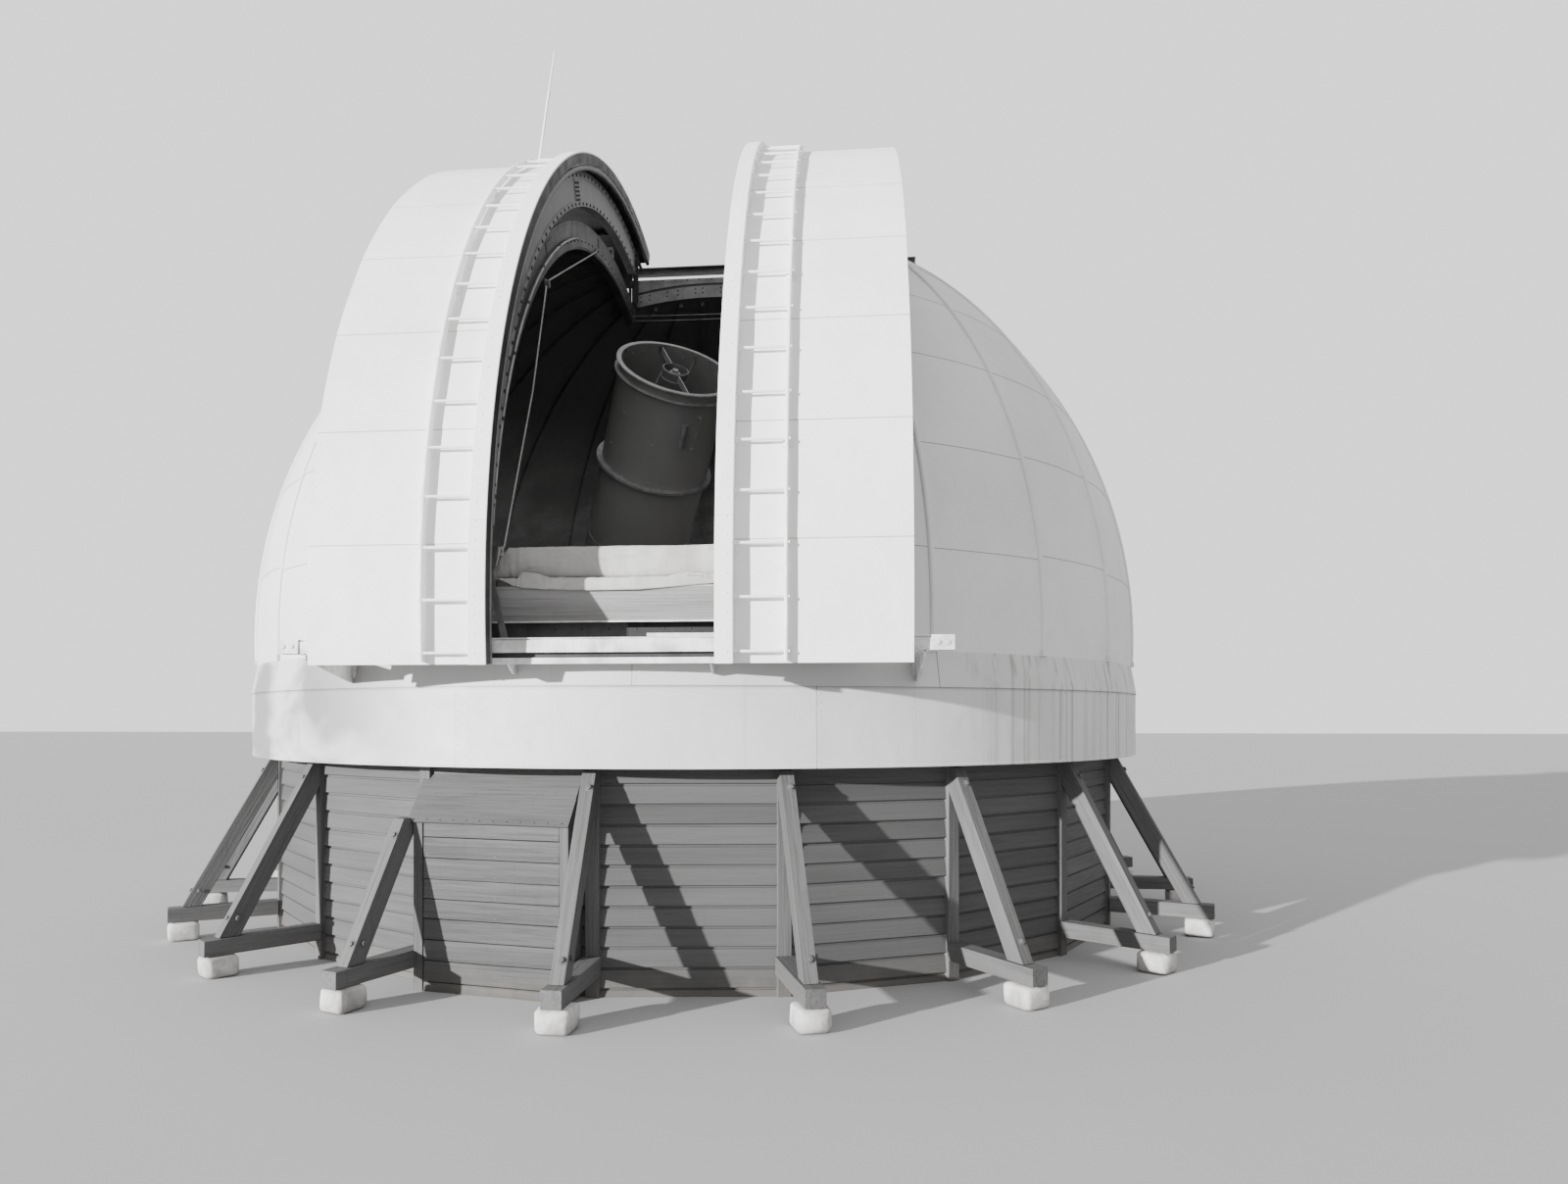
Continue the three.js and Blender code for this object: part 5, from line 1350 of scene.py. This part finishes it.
def makeShutterSkin(side, name):
    k, c = shutter, shutter["centre"]
    outer, skin, start, end = k["outer"], k["skin"], k["start"], k["end"]
    shape = Shape(f"shutter_sheets_{name}")
    seams = [start, *np.arange(k["firstSeam"], end - 2, k["seamPitch"]), end]
    x = np.concatenate([[k["inner"] + 0.02], np.linspace(k["inner"] + 0.12, outer - 0.0015, 13)])[None]
    radius = np.concatenate([np.linspace(k["cheekIn"], k["cheekTop"], 7), [4.8712, skin - 0.0005]])[None]
    darkening = np.array([0.0] * 9 + [0.8, 1.0])[:, None]
    for low, high in pairwise(seams):
        first = low if low == start else low - k["lap"]
        rows = np.array([first, first + 0.1, *np.linspace(low + 1.0, high - 1.0, 6),
                         high - k["lap"] - k["line"], high - k["lap"] * 0.9, high])[:, None]
        share = (rows - first) / (high - first)
        level = skin + k["lift"] * (1 - share) - 0.0012 * (1 - np.cos(2 * np.pi * share)) + 0 * x
        level = level + 0.0009 * np.sin(x * 9 + low) * np.sin(np.pi * share)
        shape.sheet(onArch(rows, level, side * x, c), onArch(rows, level - 0.004, side * x, c),
                    edge=darkening + 0 * x)
        bottom = np.degrees(np.arcsin((k["floor"] - c) / radius))
        turns = np.maximum(rows, np.where(radius < 4.871, bottom, -90.0))
        lift = 0.0025 * (low > start) * (1 - share) + 0 * radius
        face = side * (outer - 0.0045 + lift)
        shape.sheet(onArch(turns, radius, face, c), onArch(turns, radius, face - side * 0.003, c),
                    edge=darkening + 0 * radius)
        if low > start:
            places = np.arange(k["inner"] + 0.16, outer - 0.03, 0.075)
            shape.heads(onArch(low + 0.02, skin + k["lift"], side * places, c), onArch(low, 1.0, 0.0, 0.0),
                        0.0045, 0.0022)
    edge = np.arange(start + 0.6, end - 0.4, 1.25)
    shape.heads(onArch(edge, skin + 0.001, side * (outer - 0.026), c), onArch(edge, 1.0, 0.0, 0.0), 0.005,
                0.0025)
    for radius in (k["cheekRow"], k["edge"]):
        turns = np.arange(-2, end - 0.4, 1.25)
        shape.heads(onArch(turns, radius, side * (outer - 0.003), c), (side, 0, 0), 0.005, 0.0025)
    circle = roundPath(np.arange(14) * 360 / 14)
    bead = (k["bead"], k["edge"]) + k["beadRadius"] * circle
    # painted shade: the bead's last steps are darkened through the seam mark, where the sun would light its
    # end
    ends = (np.arange(110) > 107)[:, None] * np.ones(14)
    sweep(shape, bead, np.linspace(start, end, 110), c, side, slot=3, edge=ends)
    frameShutter(shape, side)
    shape.make(f"shutter_{name}", ["shutter", "dark", "shade", "iron"],
               [f"shutter_skin_{name}"], "white_paint", smooth=28)


def frameShutter(shape, side):
    # under the sheets: a dark lining, cross ribs at the seams, the cheek's angles, end plate and hanger
    k, c = shutter, shutter["centre"]
    outer, under, end = k["outer"], k["under"], k["end"]
    lining = bar(k["inner"] + 0.052, outer - 0.012, under + 0.002, k["skin"] - 0.0075)
    sweep(shape, lining, np.linspace(k["start"] + 0.1, end - 0.05, 90), c, side, slot=1)
    inside = outer - 0.0085
    for low, high in ((k["cheekIn"], k["cheekIn"] + 0.01), (under - 0.012, under + 0.001)):
        angle = bar(outer - 0.05, inside, low, high)
        sweep(shape, angle, clipped(angle, k["start"], end, 90, c, k["floor"]), c, side, slot=2)
    for turn in np.arange(k["firstSeam"] + 0.6, end - 2, k["seamPitch"]):
        for low, high, width in ((under - 0.055, under + 0.001, 0.12), (under - 0.055, under - 0.047, 0.55)):
            sweep(shape, bar(girder["flange"] + 0.002, inside, low, high), [turn - width, turn + width / 9],
                  c, side, slot=2)
        places = onArch(turn - 0.2, np.arange(k["cheekRow"], 4.87, 0.06), side * inside, c)
        shape.heads(places, (-side, 0, 0), 0.006, 0.004, slot=2)
        strut = bar(outer - 0.045, inside, k["cheekIn"] + 0.008, under - 0.005)
        sweep(shape, strut, [turn - 0.06, turn + 0.06], c, side, slot=2)
    plate = bar(girder["flange"] + 0.003, outer - 0.009, 4.545, under + 0.001)
    sweep(shape, plate, [end - 0.1, end - 0.01], c, side, slot=2)
    hang(shape, side * (outer - 0.015), k["hanger"][0], 2)


def hang(shape, x, front, slot):
    # a flat bar that lies on the back rail, with two bolts
    back, low, high = shutter["hanger"][1:]
    level = (low + high) / 2
    shape.beam((x, front, level), (x, back, level), (0, 0, 1), 0.03, high - low, slot=slot)
    shape.heads([(x, y, high) for y in shutter["hangerBolts"]], (0, 0, 1), 0.009, 0.008, slot=slot)


def makeCurb(side, name):
    k, c = curb, shutter["centre"]
    inner, low, high = shutter["inner"], k["low"], k["high"]
    shape = Shape(f"shutter_curb_boards_{name}")
    stops = [shutter["start"], *k["joints"], shutter["end"]]
    for first, last in pairwise(stops):
        count = int((last - first) / 1.2) + 2
        turns = np.linspace(first + 0.012, last - 0.012, count)
        sweep(shape, bar(inner + 0.0035, k["outer"] - 0.0015, low, high - 0.012), turns, c, side)
        top = [(inner + 0.0002, high - 0.0118), (k["outer"], high - 0.0118),
               (k["outer"], high - 0.002), (k["outer"] - 0.003, high), (inner + 0.003, high),
               (inner + 0.0002, high - 0.002)]
        sweep(shape, top, turns, c, side)
    # painted shade: the inner facing and its rivets take the near-black finish
    facing = bar(inner + 0.0004, inner + 0.0034, low, high - 0.012)
    sweep(shape, facing, np.linspace(shutter["start"] + 0.02, shutter["end"] - 0.02, 100), c, side, slot=1)
    rivets = np.arange(shutter["start"] + 0.9, shutter["end"] - 0.5, k["pitch"])
    shape.heads(onArch(rivets, 4.928, side * (inner + 0.0006), c), (-side, 0, 0), 0.0095, 0.0012, 8, 0.9,
                slot=1)
    shape.heads(onArch(rivets, high, side * k["rivets"], c), onArch(rivets, 1.0, 0.0, 0.0), 0.0085, 0.004, 8,
                0.85)
    shape.make(f"shutter_{name}", ["shutter", "dark"], [f"shutter_curb_{name}"], "white_paint")


def makeGirder(side, name):
    # a riveted plate girder: web, two angles and two flange plates, with a splice plate
    k, c = girder, shutter["centre"]
    under, flange, splice = k["under"], k["flange"], k["splice"]
    shape = Shape(f"shutter_girder_plates_{name}")
    web, low, high = k["web"], k["inner"], k["outer"]
    floor = shutter["floor"]

    def carry(section, first=shutter["start"], last=k["end"], steps=96, **look):
        sweep(shape, section, clipped(section, first, last, steps, c, floor), c, side, **look)

    carry(bar(web + 0.0062, web + 0.016, low + 0.008, under - 0.006))
    carry(bar(web, web + k["thick"], low, low + 0.04))
    carry(bar(web, web + k["thick"], high - 0.062, high))
    carry(bar(web, flange, low - 0.008, low - 0.0002))
    carry(bar(web + 0.016, flange - 0.004, under - 0.009, under))
    carry(bar(web + 0.0162, web + 0.024, low + 0.0002, low + 0.05))
    angles = np.arange(-2.2, k["end"] - 0.4, k["pitch"])
    # painted shade: rivet heads in the near-black finish read as dark dots
    for row in k["rows"]:
        shape.heads(onArch(angles, row, side * web, c), (-side, 0, 0), 0.017, 0.01, 8, 0.75, slot=1)
    carry(bar(web - 0.001, web + k["thick"], low + 0.041, high - 0.063), splice - 1.0, splice + 1.0, 4)
    columns = splice + np.array(k["spliceColumns"])
    for radius in k["spliceRows"]:
        shape.heads(onArch(columns, radius, side * (web - 0.001), c), (-side, 0, 0), 0.014, 0.008, slot=1)
    for turn in np.arange(8, 100, 13.5):
        if abs(turn - splice) > 4:
            carry(bar(web + 0.016, web + 0.06, low + 0.006, under - 0.008), turn - 0.06, turn + 0.06, 2)
    x, low, high = k["upright"]
    front = k["uprightFront"]
    shape.post(side * x, front, low, high, 0.064, 0.008, slot=1)
    shape.post(side * (x + 0.028), front + 0.018, low, high, 0.008, 0.027, slot=1)
    shape.heads([(side * x, 0.503, z) for z in (7.30, 7.36, 7.48, 7.54)], (0, -1, 0), 0.009, 0.006)
    hang(shape, side * (web + 0.01), k["hangerFront"], 1)
    shape.make(f"shutter_{name}", ["steel", "dark"], [f"shutter_girder_{name}"], "steel_paint")


ladder = {"rail": 1.22, "half": 0.0105, "low": 4.912, "high": 4.963, "rungs": 17, "first": -3.95,
          "pitch": 4.08, "rung": 4.949, "radius": 0.0105, "stub": 0.024}


def makeLadder(side, name):
    k, c = ladder, shutter["centre"]
    middle, half, low, high = k["rail"], k["half"], k["low"], k["high"]
    shape = Shape(f"shutter_ladder_{name}")
    turns = k["first"] + k["pitch"] * np.arange(k["rungs"])
    rail = [(middle - half, low), (middle + half, low),
            (middle + half, high - 0.002), (middle + half - 0.002, high),
            (middle - half + 0.002, high), (middle - half, high - 0.002)]
    sweep(shape, rail, np.linspace(turns[0] - 0.7, turns[-1] + 1.0, 90), c, side)
    for i, turn in enumerate(turns):
        x = np.linspace(curb["outer"] - 0.002, middle + k["stub"], 5)
        shape.rod(onArch(turn, k["rung"], side * x, c), k["radius"], 10)
        lathe(shape, [(-0.004, 0.019), (0.003, 0.019), (0.005, 0.016)],
              onArch(turn, k["rung"], side * (curb["outer"] + 0.0035), c), (side, 0, 0), 12)
        if i % 4 == 0:
            foot = [(middle - 0.03, low - 0.0085), (middle + 0.03, low - 0.0085),
                    (middle + 0.03, low - 0.002), (middle + 0.012, low + 0.001),
                    (middle - 0.012, low + 0.001), (middle - 0.03, low - 0.002)]
            sweep(shape, foot, [turn - 0.45, turn + 0.45], c, side)
    shape.make(f"shutter_{name}", ["shutter"], [f"ladder_{name}"], "white_paint", smooth=45)


rod = {"x": -1.265, "turn": 64.5, "radius": 4.905, "lean": (0.157, 0, 1.1)}


def makeRod():
    k = rod
    shape = Shape("lightning_rod_pipe")
    foot, way = onArch(k["turn"], k["radius"], k["x"], shutter["centre"]), np.array(k["lean"])
    length = np.linalg.norm(way)
    profile = [(-0.01, 0.026), (0.055, 0.026), (0.06, 0.0125), (length * 0.62, 0.0115),
               (length * 0.62, 0.014), (length * 0.64, 0.014), (length * 0.64, 0.0085),
               (length * 0.965, 0.007), (length - 0.002, 0.0012)]
    lathe(shape, profile, foot, way, 16)
    normal = onArch(k["turn"], 1.0, 0.0, 0.0)
    lathe(shape, [(-0.003, 0.055), (0.005, 0.055), (0.007, 0.052)], foot, normal, 20)
    across = np.cross(normal, (1.0, 0, 0))
    places = [foot + 0.04 * (np.cos(a) * np.array([1.0, 0, 0]) + np.sin(a) * across)
              for a in np.radians([45, 135, 225, 315])]
    shape.heads(np.array(places) + normal * 0.006, normal, 0.006, 0.005)
    shape.make("shutter_left", ["shutter"], ["lightning_rod"], "white_paint", smooth=40)


# Telescope: tube, mirror cell and spider on their two axes, and the pier

scope = {"end": np.array([0.028, -2.0, 5.293]),
         "aim": polar(27.65, np.cos(np.radians(47.6)), np.sin(np.radians(47.6))),
         "crossing": np.array([0, 0, 3.3]), "rise": 33.0, "radius": 0.53, "bore": 0.52, "rim": 0.567,
         "flange": 0.585, "split": -1.02, "length": 3.82, "cell": 0.56, "cellTop": -3.56, "band": 0.56,
         "sides": 72, "finder": 299, "rod": 313.7,
         "bolts": ((233, -0.392), (246, -0.196), (272, -0.584), (220.5, -0.768), (278.5, -0.06),
                   (297.5, -0.072))}
crossing = scope["crossing"]
reachBack = (scope["end"] - crossing) @ scope["aim"]
crossLine = scope["end"] - scope["aim"] * reachBack - crossing
crossLength = np.linalg.norm(crossLine)
crossAxis = crossLine / crossLength
levelAxis = unit(np.array([-crossAxis[1], crossAxis[0], 0]))
liftAxis = np.cross(levelAxis, crossAxis)
slope = np.arcsin(np.sin(np.radians(scope["rise"])) / abs(liftAxis[2]))
polarAxis = levelAxis * np.sign(levelAxis[1]) * np.cos(slope)
polarAxis = polarAxis + liftAxis * np.sign(liftAxis[2]) * np.sin(slope)
skew = np.zeros((3, 3))
skew[:2, 2], skew[2, :2] = scope["aim"][:2], -scope["aim"][:2]
tubeTurn = np.eye(3) + skew + skew @ skew / (1 + scope["aim"][2])


def onTube(azimuth, radius, height):
    # the tube's own cylinder, turned from the vertical to its aim by I + K + K K / (1 + c)
    turn = np.radians(azimuth)
    local = joined(radius * np.cos(turn), radius * np.sin(turn), height)
    return scope["end"] + local @ tubeTurn.T


def fromTube(azimuth):
    # the direction that points out of the tube
    return onTube(azimuth, 1.0, 0.0) - scope["end"]


def band(shape, section, **look):
    # a closed section (r, z) turned about the tube's axis
    section = np.asarray(section, float)
    azimuths = np.arange(scope["sides"]) * 360 / scope["sides"]
    shape.tube(onTube(azimuths[:, None], section[None, :, 0], section[None, :, 1]), True, **look)


def boltRow(shape, count, radius, height, outwards=0, size=0.011, tall=0.008, shift=0.0, **look):
    # bolts round the tube, standing up along its axis or square to it
    azimuths = shift + np.arange(count) * 360 / count
    places = onTube(azimuths, radius, height)
    if outwards:
        normals = outwards * fromTube(azimuths)
    else:
        normals = scope["aim"]
    shape.heads(places, normals, size, tall, **look)


def ringSection(inner, outer, low, high, round=0.004):
    return [(inner, low), (outer - round, low), (outer, low + round), (outer, high - round),
            (outer - round, high), (inner, high)]


def makeTube():
    s = scope
    radius, bore, split, rim, flange = s["radius"], s["bore"], s["split"], s["rim"], s["flange"]
    top = Shape("tube_upper")

    def bracket(azimuth, height, reach, width):
        ends = [onTube(azimuth, radius + lift, height) for lift in (-0.002, reach)]
        top.beam(*ends, s["aim"], width, 0.012, slot=1)

    near = radius - 0.001
    band(top, bar(bore, radius, split + 0.0002, -0.002))
    for low, high in ((-0.016, 0.0), (-0.107, -0.091)):
        band(top, ringSection(near, rim, low, high, 0.003), slot=1)
    band(top, [(bore + 0.0005, -0.01), (radius, -0.01), (radius, 0.0), (bore + 0.002, 0.0)], slot=1)
    band(top, ringSection(near, flange, split + 0.0006, split + 0.015, 0.003), slot=1)
    boltRow(top, 24, (radius + rim) / 2, 0.0, 0, 0.0075, 0.004, slot=1)
    boltRow(top, 24, (radius + rim) / 2, -0.091, 0, 0.0075, 0.004, 7.5, slot=1)
    boltRow(top, 32, flange - 0.026, split + 0.015, 0, 0.011, 0.008, slot=1)
    for height in (-0.02, -0.09):
        boltRow(top, 24, bore, height, -1, 0.0115, 0.009, 4.3)
    boltRow(top, 48, radius, split + 0.05, 1, 0.0065, 0.004)
    strip, inner = [onTube(100 + np.linspace(-3.2, 3.2, 5)[None, :], radius + lift,
                           np.array([[-1.0], [-0.11]])) for lift in (0.0035, -0.001)]
    top.sheet(strip, inner)
    for azimuth, height in s["bolts"]:
        top.heads(onTube(azimuth, radius, height), fromTube(azimuth), 0.013, 0.009)
    finder = onTube(s["finder"], radius + 0.045, -0.512)
    lathe(top, [(0.0, 0.021), (0.004, 0.026), (0.2, 0.026), (0.2, 0.029), (0.224, 0.029), (0.224, 0.023),
                (0.2, 0.022)], finder, s["aim"], 20, slot=1)
    for height in (-0.47, -0.35):
        bracket(s["finder"], height, 0.03, 0.03)
    rodEnds = [onTube(s["rod"], radius + 0.035, height) for height in (-0.2, -0.575)]
    top.rod(np.array(rodEnds), 0.006, 8, slot=1)
    for height in (-0.224, -0.548):
        bracket(s["rod"], height, 0.044, 0.024)
    top.make("tube", ["tube", "ring"], ["tube_top"], "tube_paint", smooth=30)

    low = Shape("tube_lower")
    middle, cellTop = -reachBack, s["cellTop"] + 0.0004
    band(low, bar(bore, radius, cellTop, split - 0.0006))
    band(low, ringSection(near, flange, split - 0.015, split - 0.0024, 0.003), slot=1)
    boltRow(low, 32, flange - 0.026, split - 0.015, 0, 0.011, -0.008, slot=1)
    band(low, ringSection(near, s["band"] - 0.012, middle - 0.3, middle + 0.3))
    for edge in (middle - 0.3, middle + 0.255, middle - 0.03):
        band(low, ringSection(radius, s["band"], edge, edge + 0.045), slot=1)
        boltRow(low, 36, s["band"], edge + 0.0225, 1, 0.009, 0.007, slot=1)
    for height in (-1.9, -3.4):
        band(low, ringSection(near, radius + 0.0045, height - 0.05, height + 0.05))
        for step in (-0.035, 0.035):
            boltRow(low, 48, radius + 0.0045, height + step, 1, 0.006, 0.0035)
    low.make("tube", ["tube", "ring"], ["tube_barrel"], "tube_paint", smooth=30)


def makeCell():
    s = scope
    cell, bore = s["cell"], s["bore"]
    shape = Shape("mirror_cell_casting")
    end, top = -s["length"], s["cellTop"]
    floor = end + 0.11
    section = [(bore, floor), (bore, top), (cell - 0.003, top), (cell, top - 0.003), (cell, top - 0.035),
               (cell - 0.014, top - 0.045), (cell - 0.014, end + 0.045), (cell, end + 0.035),
               (cell, end + 0.003), (cell - 0.003, end), (bore, end)]
    band(shape, section)
    lathe(shape, [(0.0, bore + 0.001), (0.11, bore + 0.001)], s["end"] - s["aim"] * s["length"], s["aim"], 72)
    lathe(shape, [(0.0, 0.5), (0.035, 0.5), (0.04, 0.495)], s["end"] - s["aim"] * (s["length"] - 0.1102),
          s["aim"], 72, slot=1)
    boltRow(shape, 36, cell, top - 0.018, 1, 0.009, 0.007)
    boltRow(shape, 36, cell, end + 0.018, 1, 0.009, 0.007)
    boltRow(shape, 12, 0.42, end, 0, 0.014, -0.010)
    for azimuth in range(0, 360, 30):
        start = onTube(azimuth, cell - 0.007, end + 0.04)
        stop = onTube(azimuth, cell - 0.007, top - 0.04)
        shape.beam(start, stop, fromTube(azimuth), 0.02, 0.014)
    shape.make("tube", ["tube", "bright"], ["mirror_cell"], "tube_paint", smooth=30)


pier = {"foot": 0.52, "head": 0.3, "plinth": 0.1205, "inset": 0.985, "bevel": 0.008}
spider = {"hub": 0.1205, "low": -0.109, "high": -0.0095, "vane": 118.5, "stay": 81}


def makeSpider():
    # a cup turned about the aim, two flat vanes across the tube and thin stays beside them
    s, k = scope, spider
    bore, stay = s["bore"], k["stay"]
    shape = Shape("spider_vanes")
    centre, aim = s["end"], s["aim"]
    r, low, high = k["hub"], k["low"], k["high"]
    cup = [(low, r - 0.004), (low + 0.004, r), (high - 0.002, r), (high, r - 0.002), (high, r - 0.007),
           (high - 0.002, r - 0.008), (low + 0.03, r - 0.008)]
    lathe(shape, cup, centre, aim, 40)
    for level in (low + 0.006, high - 0.014):
        lathe(shape, [(level, r - 0.001), (level, r + 0.0035), (level + 0.011, r + 0.0035),
                      (level + 0.011, r - 0.001)], centre, aim, 40, True, slot=1)
    lathe(shape, [(low + 0.029, 0.05), (-0.045, 0.05), (-0.042, 0.047), (-0.042, 0.03), (-0.02, 0.03),
                  (-0.018, 0.028)], centre, aim, 24, slot=1)
    circle = np.arange(6) * 60.0
    shape.heads(onTube(circle, 0.085, low + 0.03), aim, 0.009, 0.012, slot=1)
    for azimuth in (k["vane"], k["vane"] + 180):
        start, stop = onTube(azimuth, r - 0.004, -0.05), onTube(azimuth, bore - 0.001, -0.05)
        shape.beam(start, stop, aim, 0.01, 0.058, slot=1)
        normal = -fromTube(azimuth)
        foot = onTube(azimuth, bore - 0.0035, -0.05)
        shape.beam(foot - aim * 0.035, foot + aim * 0.035, normal, 0.06, 0.006)
        heads = [onTube(azimuth + step, bore - 0.0065, level) for step in (-2.2, 2.2)
                 for level in (-0.072, -0.03)]
        shape.heads(heads, normal, 0.008, 0.006)
    for turn in (stay, stay + 180):
        start, stop = onTube(turn - 68, r + 0.002, -0.05), onTube(turn, bore - 0.001, -0.05)
        shape.rod(np.array([start, stop]), 0.0035, 8)
        nut = [onTube(turn, bore - away, -0.05) for away in (0.02, 0.0005)]
        shape.rod(np.array(nut), 0.011, 10)
    shape.make("tube", ["iron", "ring"], ["spider"], "iron_paint", smooth=40)


mount = {"shaft": [(-1.24, 0.078), (-1.234, 0.085), (0.245, 0.085)],
         "weight": [(-1.18, 0.385), (-1.172, 0.394), (-1.06, 0.394), (-1.056, 0.386), (-1.05, 0.386),
                    (-1.046, 0.394), (-0.92, 0.394), (-0.916, 0.386), (-0.91, 0.386), (-0.906, 0.394),
                    (-0.79, 0.394), (-0.781, 0.385)],
         "collar": [(-0.7805, 0.15), (-0.74, 0.15), (-0.73, 0.12), (-0.40, 0.12), (-0.39, 0.148),
                    (-0.336, 0.148), (-0.3306, 0.145)],
         "saddle": [(0.2506, 0.222), (0.256, 0.228), (0.285, 0.228), (0.3, 0.2), (crossLength - 0.575, 0.2)],
         "bolts": ((0.21, 0.285, 1, 0.011, 0.005), (0.3, -1.18, -1, 0.02, 0.016),
                   (0.13, -0.336, 1, 0.008, 0.005)), "cradle": 0.19, "tubeSide": 0.5606,
         "hub": [(-0.245, 0.13), (-0.24, 0.135), (0.0, 0.135)],
         "spindle": [(-1.02, 0.088), (-1.013, 0.095), (-0.24, 0.095)],
         "barrel": [(-0.33, 0.09), (-0.33, 0.138), (-0.324, 0.144), (-0.28, 0.144), (-0.272, 0.136),
                    (0.192, 0.136), (0.2, 0.144), (0.244, 0.144), (0.25, 0.138), (0.25, 0.09)],
         "bearing": [(-1.0, 0.1), (-1.0, 0.148), (-0.994, 0.154), (-0.93, 0.154), (-0.92, 0.144),
                     (-0.33, 0.144), (-0.32, 0.154), (-0.252, 0.154), (-0.2456, 0.148), (-0.2456, 0.1)],
         "cheek": [(-0.24, -0.42), (0.24, -0.42), (0.24, -0.36), (0.14, -0.02), (-0.14, -0.16),
                   (-0.24, -0.36)], "fill": [(-0.13, -0.41), (0.13, -0.41), (0.11, -0.13), (-0.11, -0.18)],
         "base": -0.6225, "cheekOut": 0.172, "cheekThick": 0.034, "boltOut": 0.15, "boltLow": 0.395,
         "boltSteps": (-0.2, 0.0, 0.2), "plate": 0.4075, "plateHalf": 0.24, "pierTop": 0.4203}
mountBase = crossing + polarAxis * mount["base"]


def makeCrossAxis():
    # the shaft across the mounting: its weight at one end, the tube's saddle and cradle at the other
    m, aim = mount, scope["aim"]
    shape = Shape("declination_axis")
    lathe(shape, m["shaft"], crossing, crossAxis, 40, slot=1)
    lathe(shape, m["weight"], crossing, crossAxis, 64)
    lathe(shape, m["collar"], crossing, crossAxis, 40)
    lathe(shape, m["saddle"], crossing, crossAxis, 48)
    circle = roundPath(np.arange(12) * 30)
    first = unit(np.cross(crossAxis, aim))
    for radius, at, way, size, height in m["bolts"]:
        places = crossing + crossAxis * at + radius * (circle[:, :1] * first + circle[:, 1:] * aim)
        shape.heads(places, crossAxis * way, size, height)
    ends = onTube(0, 0.0, -reachBack + np.array([-m["cradle"], m["cradle"]]))
    for place in ends:
        shape.beam(place - crossAxis * m["tubeSide"], place - crossAxis * (crossLength - 0.3), aim, 0.2, 0.05)
    middle = ends.mean(0)
    shape.beam(middle - crossAxis * m["tubeSide"], middle - crossAxis * (crossLength - 0.31), aim, 0.26, 0.38)
    shape.make("tube", ["iron", "bright"], ["cross_axis"], "iron_paint", 0.002, smooth=34)


def makePolarHead():
    # the polar shaft and the barrel on its end, which holds the shaft across
    m = mount
    shape = Shape("polar_axis_head")
    lathe(shape, m["hub"], crossing, polarAxis, 40)
    lathe(shape, m["spindle"], crossing, polarAxis, 32, slot=1)
    lathe(shape, m["barrel"], crossing, crossAxis, 40, True)
    shape.make("polar_head", ["iron", "bright"], ["polar_head"], "iron_paint", smooth=34)


def makeHousing():
    # the polar shaft's bearing between two cheeks on a base plate
    m = mount
    shape = Shape("polar_bearing")
    lathe(shape, m["bearing"], crossing, polarAxis, 40, True)
    x, y, z = mountBase
    for side in (-1, 1):
        shape.prism(m["cheek"], (x + side * m["cheekOut"], y, z), (0, 1, 0), (0, 0, 1), m["cheekThick"])
        heads = [(x + side * m["boltOut"], y + step, z - m["boltLow"]) for step in m["boltSteps"]]
        shape.heads(heads, (0, 0, 1), 0.02, 0.018)
    front, back, level = y - m["plateHalf"], y + m["plateHalf"], z - m["plate"]
    shape.beam((x, front, level), (x, back, level), (0, 0, 1), 0.38, 0.025)
    shape.prism(m["fill"], (x, y, z), (0, 1, 0), (0, 0, 1), 0.32)
    shape.make("base", ["iron"], ["polar_housing"], "iron_paint", 0.002, smooth=34)


def makePier():
    # a square column: at the share t of its height its half width is foot + (head - foot) t, less above the
    # plinth
    shape = Shape("pier_render")
    x, y, z = mountBase
    top = z - mount["pierTop"]
    level = np.array([0, 0.01, 0.12, 0.121, *np.linspace(0.16, 0.84, 12), 0.88, 0.985, 1.0])
    half = pier["foot"] + (pier["head"] - pier["foot"]) * level
    half = half * np.where(level < pier["plinth"], 1.0, pier["inset"])
    half = half - np.where(level > 0.99, pier["bevel"], 0)
    edge = np.stack([np.linspace(-1, 1, 9)[:-1], np.full(8, -1.0)], axis=1)
    quarter = np.array([[0, 1], [-1, 0]])
    square = np.concatenate([edge @ np.linalg.matrix_power(quarter, k) for k in range(4)])
    square = square * (1 - 0.02 * (np.abs(square).min(1, keepdims=True) > 0.99))
    rings = np.concatenate([np.array([x, y]) + half[:, None, None] * square[None],
                            np.broadcast_to((level * top)[:, None, None], (len(level), len(square), 1))],
                           axis=-1)
    shape.tube(rings)
    shape.make("base", ["pier"], ["pier"], "pier_plaster", 0.004)


for side, name in bothSides:
    makeShutterSkin(side, name)
    makeCurb(side, name)
    makeGirder(side, name)
    makeLadder(side, name)
makeRod()
print("shutters made")
makeTube()
makeCell()
makeSpider()
makeCrossAxis()
makePolarHead()
makeHousing()
makePier()
print("telescope made")

# The wall's solids still show behind the boards
for name, item in nodes.items():
    if name.startswith("wall_section"):
        item.data.materials.clear()
        item.data.materials.append(finishes["backing"])
